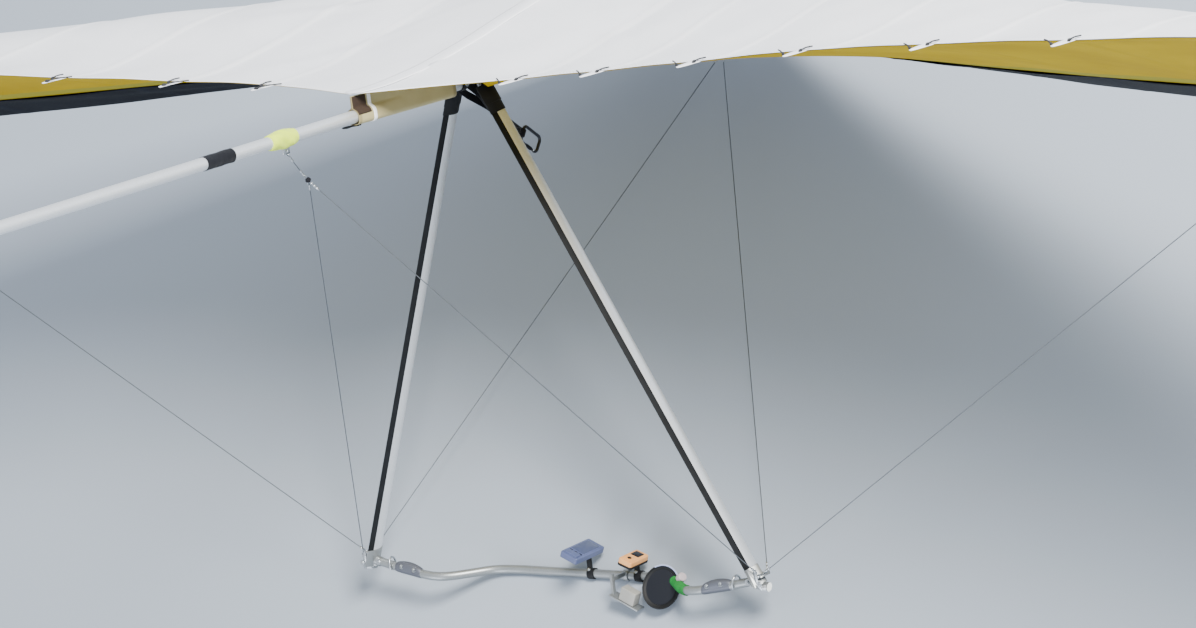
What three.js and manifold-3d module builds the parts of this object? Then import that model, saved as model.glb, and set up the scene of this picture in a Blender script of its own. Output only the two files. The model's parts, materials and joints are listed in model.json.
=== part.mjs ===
// A foot-launched flex-wing hang glider without a king post, standing nose down as it parks.
//
// Everything is modelled in the glider's own frame, in millimetres:
//   X to the pilot's left, Y towards the tail, Z up and square to the keel,
//   with the origin on the keel's axis where the two downtubes meet it.
// At the end the whole glider is pitched nose down, until the nose plate and the base bar
// both touch the floor, and is moved so that the floor is at Z = 0.

import * as THREE from 'three';
import { mergeVertices } from 'three/addons/utils/BufferGeometryUtils.js';
import Module from 'manifold-3d';

const wasm = await Module();
wasm.setup();

// Clearances
const TOUCH = 0.3;                 // gap between faces that rest on each other
const SLIP = 0.4;                  // radial gap of a sleeve on its tube
const CENTRE_GAP = 0.4;            // from the middle of the sail to either half

// Keel
const KEEL_RADIUS = 19;
const KEEL_NOSE_Y = -1405;
const KEEL_TAIL_Y = 2200;
const END_CAP_LENGTH = 26;
const BAND_Y = [1116, 1238];       // black band behind the rear wires
const WRAP_Y = [838, 951];         // bright wrap over the rear wires' anchor
const WRAP_RADIUS = 28;
const REAR_ANCHOR_Y = 880;

// Nose
const NOSE_PLATE_FRONT_Y = -1462;
const NOSE_PLATE_REAR_Y = -1240;
const NOSE_PLATE_THICKNESS = 6;
const NOSE_OPENING = { halfWidth: 165, rearY: -1210 };

// Control frame: downtubes, base bar and the fittings at its corners
// A downtube's section is a teardrop: an alloy tube in front and a black fairing behind it
const DOWNTUBE = { front: 24, rear: 40, half: 13.5, tail: 1, fairingFrom: 23 };
const BASE_BAR_RADIUS = 14;
const APEX_HALF_WIDTH = 54;
const KNUCKLE = { length: 92, thickLength: 62, thickGrow: 5, grow: 3 };
const CORNER_SLEEVE = { above: 34, below: 26, grow: 2.5 };
const CORNER = { x: 742, y: -120, z: -1551 };
const BASE_BAR_PATH = [            // right half, from the corner to the middle: x, y, z
  [-716, -118, -1568], [-600, -112, -1590], [-480, -116, -1606],
  [-340, -226, -1608], [-260, -240, -1608], [-130, -240, -1608],
];
const GRIP = { x: [-478, -352], thickness: 3 };   // green tape on the bar's slanting stretch

// Rigging
const WIRE_RADIUS = 1.6;
const NOSE_JUNCTION = { y: -1317, z: -160 };
const REAR_JUNCTION = { y: 802, z: -137 };
const SIDE_ANCHOR_SPAN = 2925;

// Hang strap: two legs beside the keel, joined below it, with an eye for the carabiner
const STRAP = {
  pivotY: 50, width: 24, legInner: 24.25, legOuter: 27.75, shoulder: -72, fork: -150, eye: -339,
};
const STRAP_THICKNESS = 8;
const EYE_RADIUS = 6.5;
const CARABINER = { width: 62, height: 98, corner: 19, rod: 10 };

// Wing. The trailing edge runs through the battens' ends: span, y, z.
const LEADING_EDGE = { front: -1420, sweep: 0.4909, dip: -0.0933, lift: 2.11e-5, depth: 46 };
const BATTEN_ENDS = [
  [0, 560, 68], [470, 368, 68], [797, 412, 93], [1197, 494, 128], [1645, 622, 173], [2143, 764, 205],
  [2661, 912, 231], [3190, 1063, 254], [3730, 1215, 265], [4280, 1365, 266], [4800, 1495, 256],
];
const TIP_SPAN = 5050;
const TIP_STATIONS = [4920, 5000, 5050];
const SCALLOP = 14;                // hollow of the trailing edge between two battens
// Height of the upper surface over the chord line, per chord, at the keel and further out
const CAMBER = { atKeel: 0.11, outboard: 0.16, reachedAt: 1400 };
const CREST = 0.25;                // where along the chord the upper surface is highest
const SHEET = 4;                   // thickness of the single rear part of the sail
const TONGUE = { length: 85, root: 44, tip: 26, overlap: 30 };   // batten tips behind the trailing edge

// Where along the chord the lower surface ends, at the keel and from a span of 700 outwards
const DOUBLE_SURFACE = { atKeel: 0.74, outboard: 0.9, reachedAt: 700, closing: 0.06 };
// Chord steps as shares of the double surface
const FRONT_STEPS = [0, 0.008, 0.03, 0.068, 0.12, 0.2, 0.34, 0.46, 0.58, 0.7, 0.82, 0.92, 1];

// Instruments: centre, size along X, Y and Z, and how far their right side hangs lower
const DISPLAY = { centre: [-27, -205, -1528], size: [66, 150, 20], roll: 24, postX: -30 };
const LOGGER = { centre: [-221, -205, -1545], size: [50, 98, 22], roll: 21, postX: -212 };
const SHELF = { x: -163, y: [-182, -142], high: [-157, -1644], low: [-257, -1690], upright: -1582 };
const SHELF_BOX = { size: [56, 34, 44], along: 0.56 };
const POD = { centre: [-333, -180, -1620], facing: [-0.25, 0.85, 0.45], width: 122, height: 138, depth: 36 };

const finish = (color, roughness, metalness = 0) => (
  new THREE.MeshStandardMaterial({ color, roughness, metalness })
);
const materials = {
  alloy: finish(0xc9ccce, 0.32, 0.9),
  steel: finish(0x9a9da0, 0.35, 0.9),
  blackAlloy: finish(0x15161a, 0.45, 0.4),
  blackPlastic: finish(0x1b1c1e, 0.6),
  sail: finish(0xe9ebf0, 0.7),
  pocket: finish(0xa39a78, 0.85),
  webbing: finish(0x16171b, 0.9),
  brightWrap: finish(0xc9e03c, 0.75),
  greenGrip: finish(0x1d8a3c, 0.6),
  greyPlastic: finish(0x7d87a0, 0.45),
  orangePlastic: finish(0xd08a3a, 0.5),
};

const glider = new THREE.Group();

const point = (x, y, z) => new THREE.Vector3(x, y, z);

function addPiece(name, geometry, material, parent = glider) {
  const mesh = new THREE.Mesh(geometry, material);
  mesh.name = name;
  parent.add(mesh);
}

// Solids for joins and cuts

function solidOf(geometry) {
  const bare = geometry.clone();
  bare.deleteAttribute('normal');
  bare.deleteAttribute('uv');
  const merged = mergeVertices(bare, 1e-4);
  return new wasm.Manifold(new wasm.Mesh({
    numProp: 3,
    vertProperties: new Float32Array(merged.attributes.position.array),
    triVerts: new Uint32Array(merged.index.array),
  }));
}

function geometryOf(solid) {
  const mesh = solid.getMesh();
  const geometry = new THREE.BufferGeometry();
  geometry.setAttribute('position', new THREE.BufferAttribute(new Float32Array(mesh.vertProperties), 3));
  geometry.setIndex(new THREE.BufferAttribute(new Uint32Array(mesh.triVerts), 1));
  geometry.computeVertexNormals();
  return geometry;
}

const join = (...parts) => geometryOf(parts.map(solidOf).reduce((whole, part) => whole.add(part)));
const cut = (body, ...tools) => (
  geometryOf(tools.map(solidOf).reduce((rest, tool) => rest.subtract(tool), solidOf(body)))
);

// Simple shapes, already in place

function boxAt(centre, size) {
  return new THREE.BoxGeometry(...size).translate(...centre);
}

function rodBetween(start, end, radius, sides = 20) {
  const along = new THREE.Vector3().subVectors(end, start);
  const turn = new THREE.Quaternion().setFromUnitVectors(point(0, 1, 0), along.clone().normalize());
  const middle = new THREE.Vector3().addVectors(start, end).multiplyScalar(0.5);
  return new THREE.CylinderGeometry(radius, radius, along.length(), sides)
    .applyQuaternion(turn)
    .translate(middle.x, middle.y, middle.z);
}

function keelSleeve(yStart, yEnd, outerRadius, sides = 28) {
  const outer = rodBetween(point(0, yStart, 0), point(0, yEnd, 0), outerRadius, sides);
  const bore = rodBetween(point(0, yStart - 5, 0), point(0, yEnd + 5, 0), KEEL_RADIUS + SLIP, 32);
  return cut(outer, bore);
}

// A plate drawn in the YZ plane, as [y, z] corners, and as wide as width along X
function sidePlate(corners, width) {
  const shape = new THREE.Shape(corners.map(([y, z]) => new THREE.Vector2(y, z)));
  return new THREE.ExtrudeGeometry(shape, { depth: width, bevelEnabled: false })
    .translate(0, 0, -width / 2)
    .applyMatrix4(new THREE.Matrix4().makeBasis(point(0, 1, 0), point(0, 0, 1), point(1, 0, 0)));
}

// Wing surface

const mix = (a, b, t) => a + (b - a) * t;

function batten(span, column) {
  for (let i = 1; i < BATTEN_ENDS.length; i += 1) {
    const [near, far] = [BATTEN_ENDS[i - 1], BATTEN_ENDS[i]];
    if (span <= far[0] || i === BATTEN_ENDS.length - 1) {
      return mix(near[column], far[column], (span - near[0]) / (far[0] - near[0]));
    }
  }
  return 0;
}

function leadingEdgeY(span) {
  const tipRake = Math.max(0, span - 4500) ** 2 * 4e-4;
  return LEADING_EDGE.front + LEADING_EDGE.sweep * span + tipRake;
}

function leadingEdgeZ(span) {
  return LEADING_EDGE.dip * span + LEADING_EDGE.lift * span * span;
}

function trailingEdge(span, scallop) {
  const tipCut = Math.max(0, span - 4800) ** 2 * 4e-3;
  return { y: batten(span, 1) - scallop - tipCut, z: batten(span, 2) };
}

// A value that changes smoothly from the keel to a span, and stays the same further out
function fromKeel({ atKeel, outboard, reachedAt }, span) {
  const share = Math.min(1, span / reachedAt);
  return mix(atKeel, outboard, share * share * (3 - 2 * share));
}

function chordSteps(span) {
  const end = fromKeel(DOUBLE_SURFACE, span);
  const closed = end + DOUBLE_SURFACE.closing;
  return [...FRONT_STEPS.map((share) => share * end), closed, (closed + 1) / 2, 1];
}

// Height of the two surfaces at a chord fraction t of the section at a span
function section(span, t, scallop = 0) {
  const trail = trailingEdge(span, scallop);
  const lead = { y: leadingEdgeY(span), z: leadingEdgeZ(span) };
  const chord = trail.y - lead.y;
  const line = mix(lead.z, trail.z, t);
  const rise = t < CREST
    ? (1 - ((CREST - t) / CREST) ** 2) ** 0.75
    : Math.cos((t - CREST) / (1 - CREST) * Math.PI / 2) ** 2;
  const top = line + fromKeel(CAMBER, span) * chord * rise;
  const roundness = Math.sqrt(1 - (1 - Math.min(1, t / 0.06)) ** 2);
  const end = fromKeel(DOUBLE_SURFACE, span);
  const belly = line - LEADING_EDGE.depth * (1 - Math.min(1, t / end)) ** 2.4 * roundness;
  const nearKeel = Math.exp(-((span / 230) ** 2)) * Math.min(1, t / 0.03);
  const under = mix(belly, Math.min(belly, -KEEL_RADIUS - 8), nearKeel);
  const closing = Math.min(1, Math.max(0, (t - end) / DOUBLE_SURFACE.closing));
  return { y: lead.y + chord * t, top, low: Math.min(top - SHEET, mix(under, top - SHEET, closing)) };
}

function sailStations() {
  const stations = [
    { span: CENTRE_GAP, scallop: 0 },
    { span: 110, scallop: 0 },
    { span: 235, scallop: SCALLOP / 2 },
  ];
  for (let i = 1; i < BATTEN_ENDS.length; i += 1) {
    const span = BATTEN_ENDS[i][0];
    stations.push({ span, scallop: 0 });
    if (i < BATTEN_ENDS.length - 1) {
      stations.push({ span: (span + BATTEN_ENDS[i + 1][0]) / 2, scallop: SCALLOP });
    }
  }
  TIP_STATIONS.forEach((span) => stations.push({ span, scallop: 0 }));
  return stations;
}

// One half of the sail: rings of points round each section, joined into a closed skin
function sailHalf(side) {
  const rings = sailStations().map(({ span, scallop }) => {
    const points = chordSteps(span).map((t) => section(span, t, scallop));
    const over = points.map((p) => point(side * span, p.y, p.top));
    const under = points.slice(1).map((p) => point(side * span, p.y, p.low));
    return [...over.reverse(), ...under];
  });
  const count = rings[0].length;
  const steps = chordSteps(0).length - 1;
  const positions = rings.flat().flatMap((p) => [p.x, p.y, p.z]);
  const faces = [];
  const quad = (a, b, c, d) => (side > 0 ? faces.push(a, b, c, a, c, d) : faces.push(a, c, b, a, d, c));
  for (let r = 0; r < rings.length - 1; r += 1) {
    for (let i = 0; i < count; i += 1) {
      const next = (i + 1) % count;
      quad(r * count + i, r * count + next, (r + 1) * count + next, (r + 1) * count + i);
    }
  }
  // flat ends: the upper and lower points of a ring are paired from the leading edge back
  for (const [ring, flip] of [[0, false], [rings.length - 1, true]]) {
    const base = ring * count;
    const upper = (i) => base + steps - i;
    const lower = (i) => (i === 0 ? upper(0) : base + steps + i);
    for (let i = 0; i < steps; i += 1) {
      const corners = [upper(i), upper(i + 1), lower(i + 1), lower(i)];
      if (flip) corners.reverse();
      if (i > 0) quad(...corners);
      else {
        const [a, b, c] = flip ? [upper(0), lower(1), upper(1)] : [upper(0), upper(1), lower(1)];
        faces.push(...(side > 0 ? [a, b, c] : [a, c, b]));
      }
    }
  }
  const geometry = new THREE.BufferGeometry();
  geometry.setAttribute('position', new THREE.Float32BufferAttribute(positions, 3));
  geometry.setIndex(faces);
  return geometry;
}

// A batten's flat tip in its pocket, which sticks out behind the trailing edge
function battenTongue(side, [span, tipY, tipZ]) {
  const start = tipY - TONGUE.overlap;
  const end = tipY + TONGUE.length;
  const corners = [[-TONGUE.root, start], [TONGUE.root, start], [TONGUE.tip, end], [-TONGUE.tip, end]];
  const outline = new THREE.Shape(corners.map(([width, y]) => new THREE.Vector2(side * span + width / 2, y)));
  return new THREE.ExtrudeGeometry(outline, { depth: SHEET + 1, bevelEnabled: false })
    .translate(0, 0, tipZ - SHEET - 0.5);
}

function buildSail(name, side) {
  const tunnel = rodBetween(point(0, -1500, 0), point(0, 620, 0), KEEL_RADIUS + 2, 24);
  const apexOpening = boxAt([0, 10, -20], [210, 200, 110]);
  const noseOpening = boxAt([0, NOSE_OPENING.rearY - 200, 0], [2 * NOSE_OPENING.halfWidth, 400, 400]);
  const tongues = BATTEN_ENDS.slice(1).map((tip) => battenTongue(side, tip));
  addPiece(name, cut(join(sailHalf(side), ...tongues), tunnel, apexOpening, noseOpening), materials.sail);
}

// Nose

function buildNose() {
  const plate = new THREE.Shape();
  plate.moveTo(-32, NOSE_PLATE_FRONT_Y);
  plate.lineTo(32, NOSE_PLATE_FRONT_Y);
  plate.lineTo(46, NOSE_PLATE_FRONT_Y + 16);
  plate.lineTo(118, NOSE_PLATE_REAR_Y);
  plate.lineTo(-118, NOSE_PLATE_REAR_Y);
  plate.lineTo(-46, NOSE_PLATE_FRONT_Y + 16);
  const plateTop = -KEEL_RADIUS - TOUCH;
  const slab = new THREE.ExtrudeGeometry(plate, { depth: NOSE_PLATE_THICKNESS, bevelEnabled: false })
    .translate(0, 0, plateTop - NOSE_PLATE_THICKNESS);
  const tang = boxAt([0, -1340, plateTop - NOSE_PLATE_THICKNESS - 13], [5, 34, 30]);
  addPiece('nose_plate', join(slab, tang), materials.alloy);

  // the cone fills the nose of the sail between its two halves, and rests on the plate
  const bore = rodBetween(point(0, -1500, 0), point(0, NOSE_OPENING.rearY + 20, 0), KEEL_RADIUS + SLIP, 32);
  addPiece('nose_cone', cut(join(noseConeHalf(1), noseConeHalf(-1)), bore), materials.sail);
}

function noseConeHalf(side) {
  // the sail's own section, cut off at the opening's edges and at the plate's top
  const outer = solidOf(sailHalf(side).translate(-side * CENTRE_GAP, 0, 0));
  const width = NOSE_OPENING.halfWidth - TOUCH;
  const keepCentre = [side * width / 2, NOSE_OPENING.rearY - TOUCH - 200, 200 - KEEL_RADIUS];
  const keep = boxAt(keepCentre, [width, 400, 400]);
  return geometryOf(outer.intersect(solidOf(keep)));
}

// Keel and what is on it

function buildKeel() {
  const start = point(0, KEEL_NOSE_Y, 0);
  const end = point(0, KEEL_TAIL_Y, 0);
  addPiece('keel_tube', rodBetween(start, end, KEEL_RADIUS, 32), materials.alloy);
  const cap = rodBetween(
    point(0, KEEL_TAIL_Y + TOUCH, 0),
    point(0, KEEL_TAIL_Y + TOUCH + END_CAP_LENGTH, 0),
    KEEL_RADIUS + 1.5,
    28,
  );
  addPiece('keel_end_cap', cap, materials.blackPlastic);
  addPiece('keel_band', keelSleeve(BAND_Y[0], BAND_Y[1], KEEL_RADIUS + 2.2), materials.blackPlastic);
  const anchorNotch = boxAt([0, REAR_ANCHOR_Y, -40], [5 + 2 * TOUCH, 30 + 2 * TOUCH, 80]);
  const wrap = cut(keelSleeve(WRAP_Y[0], WRAP_Y[1], WRAP_RADIUS), anchorNotch);
  addPiece('keel_wrap', wrap, materials.brightWrap);
  const anchor = boxAt([0, REAR_ANCHOR_Y, -KEEL_RADIUS - SLIP - 13], [5, 30, 26]);
  addPiece('keel_wire_anchor', anchor, materials.steel);
}

function buildPocket() {
  // tan fabric that hangs from the sail and holds the keel, from the apex to the trailing edge
  const front = 98;
  const rear = 564;
  const stations = [front, 170, 260, 380, 480, rear];
  const rootChord = trailingEdge(0, 0).y - leadingEdgeY(0);
  const topAt = (y) => section(0, (Math.min(y, 559) - leadingEdgeY(0)) / rootChord).low - 3;
  const upper = stations.map((y) => [y, topAt(y)]);
  const outline = [[front, -32], [rear, -KEEL_RADIUS - 5], ...upper.reverse()];
  const bore = rodBetween(point(0, front - 10, 0), point(0, rear + 10, 0), KEEL_RADIUS + SLIP, 32);
  addPiece('keel_pocket', cut(sidePlate(outline, 2 * (KEEL_RADIUS + 3.5)), bore), materials.pocket);
}

// Control frame

const cornerPoint = (side) => point(side * CORNER.x, CORNER.y, CORNER.z);
const apexPoint = (side) => point(side * APEX_HALF_WIDTH, 0, -12);

function alongDowntube(side, distance) {
  const direction = cornerPoint(side).sub(apexPoint(side)).normalize();
  return apexPoint(side).addScaledVector(direction, distance);
}

const DOWNTUBE_SPAN = cornerPoint(1).distanceTo(apexPoint(1));
const KNUCKLE_INNER_X = 38;

// A bar of the downtube's teardrop section between two distances along the tube. The section is
// thicker by grow all round, and keeps only what lies between two places along its chord.
function teardropBar(side, start, end, grow = 0, [from, to] = [-Infinity, Infinity]) {
  const front = DOWNTUBE.front + grow;
  const rear = DOWNTUBE.rear + grow;
  const half = DOWNTUBE.half + grow;
  const halfAt = (u) => (u < 0
    ? half * Math.sqrt(Math.max(0, 1 - (u / front) ** 2))
    : mix(half, DOWNTUBE.tail, (u / rear) ** 1.8));
  const nose = [90, 70, 50, 32, 16].map((degrees) => -front * Math.sin(degrees * Math.PI / 180));
  const tail = [0, 0.22, 0.45, 0.65, 0.83, 1].map((share) => rear * share);
  const inside = [...nose, ...tail].filter((u) => u > from && u < to);
  const places = [...(from > -front ? [from] : []), ...inside, ...(to < rear ? [to] : [])];
  const upper = places.map((u) => new THREE.Vector2(u, halfAt(u)));
  const lower = upper.filter((p) => p.y > 1e-6).map((p) => new THREE.Vector2(p.x, -p.y)).reverse();
  const along = cornerPoint(side).sub(apexPoint(side)).normalize();
  const aft = point(0, 1, 0).addScaledVector(along, -along.y).normalize();
  const across = point(0, 0, 0).crossVectors(along, aft);
  const outline = new THREE.Shape([...upper, ...lower]);
  return new THREE.ExtrudeGeometry(outline, { depth: end - start, bevelEnabled: false })
    .applyMatrix4(new THREE.Matrix4().makeBasis(aft, across, along))
    .translate(...alongDowntube(side, start));
}

function buildApex() {
  const block = boxAt([0, -8, 0], [2 * (KEEL_RADIUS + 3.4), 34, 2 * (KEEL_RADIUS + 4)]);
  const bore = rodBetween(point(0, -60, 0), point(0, 60, 0), KEEL_RADIUS + SLIP, 32);
  const reach = KNUCKLE_INNER_X - TOUCH;
  const sleeves = [1, -1].map((side) => (
    rodBetween(point(side * 21, 0, 0), point(side * reach, 0, 0), 7, 16)
  ));
  addPiece('apex_bracket', join(cut(block, bore), ...sleeves), materials.blackAlloy);
}

function buildSide(label, side) {
  const knuckle = join(
    teardropBar(side, 0, KNUCKLE.thickLength, KNUCKLE.thickGrow),
    teardropBar(side, KNUCKLE.thickLength - 2, KNUCKLE.length, KNUCKLE.grow),
    boxAt([side * (KNUCKLE_INNER_X + 10), 0, -12], [20, 38, 44]),
  );
  addPiece(`downtube_knuckle_${label}`, knuckle, materials.blackAlloy);
  const start = KNUCKLE.length + TOUCH;
  const end = DOWNTUBE_SPAN - CORNER_SLEEVE.above - TOUCH;
  const seam = DOWNTUBE.fairingFrom;
  addPiece(`downtube_${label}`, teardropBar(side, start, end, 0, [-Infinity, seam]), materials.alloy);
  const fairing = teardropBar(side, start, end, 0, [seam + TOUCH, Infinity]);
  addPiece(`downtube_fairing_${label}`, fairing, materials.blackPlastic);
  addPiece(`corner_bracket_${label}`, cornerBracket(side), materials.alloy);
  addPiece(`leading_edge_end_${label}`, leadingEdgeEnd(side), materials.alloy);
}

const STAY_LUG_TOP = CORNER.z + 8.5;

function cornerBracket(side) {
  const { above, below, grow } = CORNER_SLEEVE;
  const sleeve = teardropBar(side, DOWNTUBE_SPAN - above, DOWNTUBE_SPAN + below, grow);
  const outerBar = point(...BASE_BAR_PATH[0]);
  const barEnd = point(-side * outerBar.x, outerBar.y, outerBar.z);
  const socketEnd = point(-side * (outerBar.x - TOUCH), outerBar.y, outerBar.z);
  const inward = point(-side * 116, 6, -22).normalize();
  const socket = rodBetween(
    socketEnd.clone().addScaledVector(inward, -34),
    socketEnd.clone().addScaledVector(inward, -TOUCH),
    BASE_BAR_RADIUS + 2,
    24,
  );
  const lug = boxAt([side * (CORNER.x + 16), CORNER.y, STAY_LUG_TOP - 2.5], [30, 50, 5]);
  const web = boxAt([barEnd.x + side * 22, barEnd.y, barEnd.z], [20, 24, 24]);
  const plug = rodBetween(
    point(side * CORNER.x, CORNER.y, CORNER.z - 26),
    point(side * (CORNER.x + 40), CORNER.y, CORNER.z - 31),
    BASE_BAR_RADIUS,
    24,
  );
  return join(sleeve, socket, lug, web, plug);
}

function leadingEdgeEnd(side) {
  const tubeAt = (span) => point(side * span, leadingEdgeY(span) + 42, leadingEdgeZ(span) - 4);
  const inner = tubeAt(TIP_SPAN - 60);
  const tip = tubeAt(TIP_SPAN);
  const heading = tip.clone().sub(inner).normalize();
  const tube = rodBetween(inner, tip.clone().addScaledVector(heading, 34), 17, 24);
  return cut(tube, boxAt([side * (TIP_SPAN + TOUCH - 250), tip.y, tip.z], [500, 400, 400]));
}

function baseBarTube(radius) {
  const right = BASE_BAR_PATH.map((p) => point(...p));
  const left = right.map((p) => point(-p.x, p.y, p.z)).reverse();
  const path = new THREE.CatmullRomCurve3([...right, ...left], false, 'centripetal');
  const ring = new THREE.Shape().absarc(0, 0, radius, 0, 2 * Math.PI);
  return new THREE.ExtrudeGeometry(ring, {
    steps: 60, curveSegments: 10, extrudePath: path, bevelEnabled: false,
  });
}

// Nose-down attitude: the floor runs from the nose plate's lower front edge to the base bar

function parkedPitch() {
  const edge = { y: NOSE_PLATE_FRONT_Y, z: -KEEL_RADIUS - TOUCH - NOSE_PLATE_THICKNESS };
  const bar = baseBarTube(BASE_BAR_RADIUS).attributes.position;
  let steepest = 0;
  for (let i = 0; i < bar.count; i += 1) {
    steepest = Math.max(steepest, Math.atan2(edge.z - bar.getZ(i), bar.getY(i) - edge.y));
  }
  return steepest;
}

const PITCH = parkedPitch();

function buildBaseBar() {
  addPiece('base_bar', baseBarTube(BASE_BAR_RADIUS), materials.alloy);
  const gripStretch = boxAt([(GRIP.x[0] + GRIP.x[1]) / 2, -170, -1604], [GRIP.x[1] - GRIP.x[0], 200, 60]);
  const grip = solidOf(baseBarTube(BASE_BAR_RADIUS + GRIP.thickness)).intersect(solidOf(gripStretch));
  addPiece('green_grip', cut(geometryOf(grip), baseBarTube(BASE_BAR_RADIUS + SLIP)), materials.greenGrip);
}

// Instruments on the base bar

const BAR_CENTRE = { y: BASE_BAR_PATH.at(-1)[1], z: BASE_BAR_PATH.at(-1)[2] };

// A clamp that grips the bar from its upper and rear side, so that the bar itself meets the floor
function barClamp(x, barY, width, ...arms) {
  const ring = rodBetween(
    point(x - width / 2, barY, BAR_CENTRE.z),
    point(x + width / 2, barY, BAR_CENTRE.z),
    BASE_BAR_RADIUS + 4,
    24,
  );
  const floorSide = new THREE.BoxGeometry(width + 2, 60, 30)
    .translate(0, 0, -15 - BASE_BAR_RADIUS / 2)
    .rotateX(-PITCH)
    .translate(x, barY, BAR_CENTRE.z);
  return cut(join(cut(ring, floorSide), ...arms), baseBarTube(BASE_BAR_RADIUS + SLIP));
}

// A slab with rounded corners, rolled until its right side is the lower one
function rolledSlab({ centre, size: [width, length, height], roll }, grow = 0) {
  const outline = roundedRectangle(width + 2 * grow, length + 2 * grow, 8);
  const depth = height + 2 * grow;
  return new THREE.ExtrudeGeometry(outline, { depth, curveSegments: 4, bevelEnabled: false })
    .translate(0, 0, -depth / 2)
    .rotateY(-roll * Math.PI / 180)
    .translate(...centre);
}

function mountOnBar(name, clampName, unit, material) {
  const top = unit.centre[2];
  const post = boxAt([unit.postX, BAR_CENTRE.y + 10, (BAR_CENTRE.z + top) / 2], [14, 10, top - BAR_CENTRE.z]);
  const clamp = cut(barClamp(unit.postX, BAR_CENTRE.y, 24, post), rolledSlab(unit, TOUCH));
  addPiece(clampName, clamp, materials.blackPlastic);
  addPiece(name, rolledSlab(unit), material);
}

// A thin strip that slants down to the right, with the box that it carries
function buildShelf() {
  const [highX, highZ] = SHELF.high;
  const [lowX, lowZ] = SHELF.low;
  const length = Math.hypot(highX - lowX, highZ - lowZ);
  const slant = Math.atan2(highZ - lowZ, highX - lowX);
  const depth = SHELF.y[1] - SHELF.y[0];
  const place = (geometry, share, rise) => geometry
    .translate(length * (0.5 - share), 0, rise)
    .rotateY(-slant)
    .translate((highX + lowX) / 2, (SHELF.y[0] + SHELF.y[1]) / 2, (highZ + lowZ) / 2);
  const strip = place(new THREE.BoxGeometry(length, depth, 4), 0.5, 0);
  const upright = boxAt([SHELF.x, -162, (SHELF.upright + highZ) / 2 - 2], [8, 14, SHELF.upright - highZ + 4]);
  const arm = boxAt([SHELF.x, -192, BAR_CENTRE.z + 9], [8, 74, 12]);
  addPiece('pod_bracket', barClamp(SHELF.x, BAR_CENTRE.y, 20, arm, upright, strip), materials.alloy);
  const [boxLength, boxDepth, boxHeight] = SHELF_BOX.size;
  const box = place(
    new THREE.BoxGeometry(boxLength, boxDepth, boxHeight),
    SHELF_BOX.along,
    2 + TOUCH + boxHeight / 2,
  );
  addPiece('shelf_box', box, materials.greyPlastic);
}

// Half an egg, with its flat face turned to the pilot, notched where the bar passes
function buildPod() {
  const bowl = new THREE.SphereGeometry(1, 24, 16).scale(POD.width / 2, POD.depth, POD.height / 2);
  const behind = boxAt([0, 100, 0], [300, 200, 300]);
  const facing = point(...POD.facing).normalize();
  const across = point(1, 0, 0).addScaledVector(facing, -facing.x).normalize();
  const up = point(0, 0, 0).crossVectors(across, facing);
  const pod = cut(bowl, behind)
    .applyMatrix4(new THREE.Matrix4().makeBasis(across, facing, up))
    .translate(...POD.centre);
  const notch = baseBarTube(BASE_BAR_RADIUS + GRIP.thickness + SLIP);
  addPiece('instrument_pod', cut(pod, notch), materials.blackPlastic);
}

function buildInstruments() {
  mountOnBar('display_box', 'display_clamp', DISPLAY, materials.greyPlastic);
  mountOnBar('logger_unit', 'logger_clamp', LOGGER, materials.orangePlastic);
  buildShelf();
  buildPod();
}

// Hang strap and carabiner, which hang straight down when the glider is parked

function roundedRectangle(width, height, corner) {
  const [w, h] = [width / 2, height / 2];
  const shape = new THREE.Shape();
  shape.moveTo(corner - w, -h);
  shape.lineTo(w - corner, -h);
  shape.absarc(w - corner, corner - h, corner, -Math.PI / 2, 0);
  shape.lineTo(w, h - corner);
  shape.absarc(w - corner, h - corner, corner, 0, Math.PI / 2);
  shape.lineTo(corner - w, h);
  shape.absarc(corner - w, h - corner, corner, Math.PI / 2, Math.PI);
  shape.lineTo(-w, corner - h);
  shape.absarc(corner - w, corner - h, corner, Math.PI, Math.PI * 1.5);
  return shape;
}

function strapSolid() {
  const { legInner, legOuter, shoulder, fork, eye, width } = STRAP;
  const half = STRAP_THICKNESS / 2;
  const end = eye + EYE_RADIUS + 1.5;
  const right = [[legInner, 12], [legOuter, 12], [legOuter, shoulder - 1], [half, fork - 4], [half, end]];
  const left = right.map(([x, z]) => [-x, z]).reverse();
  const corners = [[0, fork], [legInner, shoulder], ...right, ...left, [-legInner, shoulder]];
  const outline = new THREE.Shape(corners.map(([x, z]) => new THREE.Vector2(x, z)));
  const webbing = new THREE.ExtrudeGeometry(outline, { depth: width, bevelEnabled: false });
  const ring = new THREE.Shape().absarc(0, eye, EYE_RADIUS + 3.5, 0, 2 * Math.PI);
  ring.holes.push(new THREE.Path().absarc(0, eye, EYE_RADIUS, 0, 2 * Math.PI, true));
  const loop = new THREE.ExtrudeGeometry(ring, { depth: width, curveSegments: 24, bevelEnabled: false });
  return join(webbing, loop).rotateX(Math.PI / 2).translate(0, width / 2, 0);
}

function carabinerSolid() {
  const { width, height, corner, rod } = CARABINER;
  const bevel = 3;
  const outline = roundedRectangle(width - 2 * bevel, height - 2 * bevel, corner - bevel);
  const inset = 2 * (rod - bevel);
  const hole = roundedRectangle(width - inset, height - inset, corner - rod + bevel);
  outline.holes.push(new THREE.Path(hole.getPoints(6).reverse()));
  const ring = new THREE.ExtrudeGeometry(outline, {
    depth: rod - 2 * bevel, bevelThickness: bevel, bevelSize: bevel, bevelSegments: 2, curveSegments: 6,
  });
  return ring
    .translate(0, 0, bevel - rod / 2)
    .applyMatrix4(new THREE.Matrix4().makeBasis(point(0, 1, 0), point(0, 0, 1), point(1, 0, 0)))
    .translate(0, 0, STRAP.eye - height / 2 + rod / 2);
}

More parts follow.
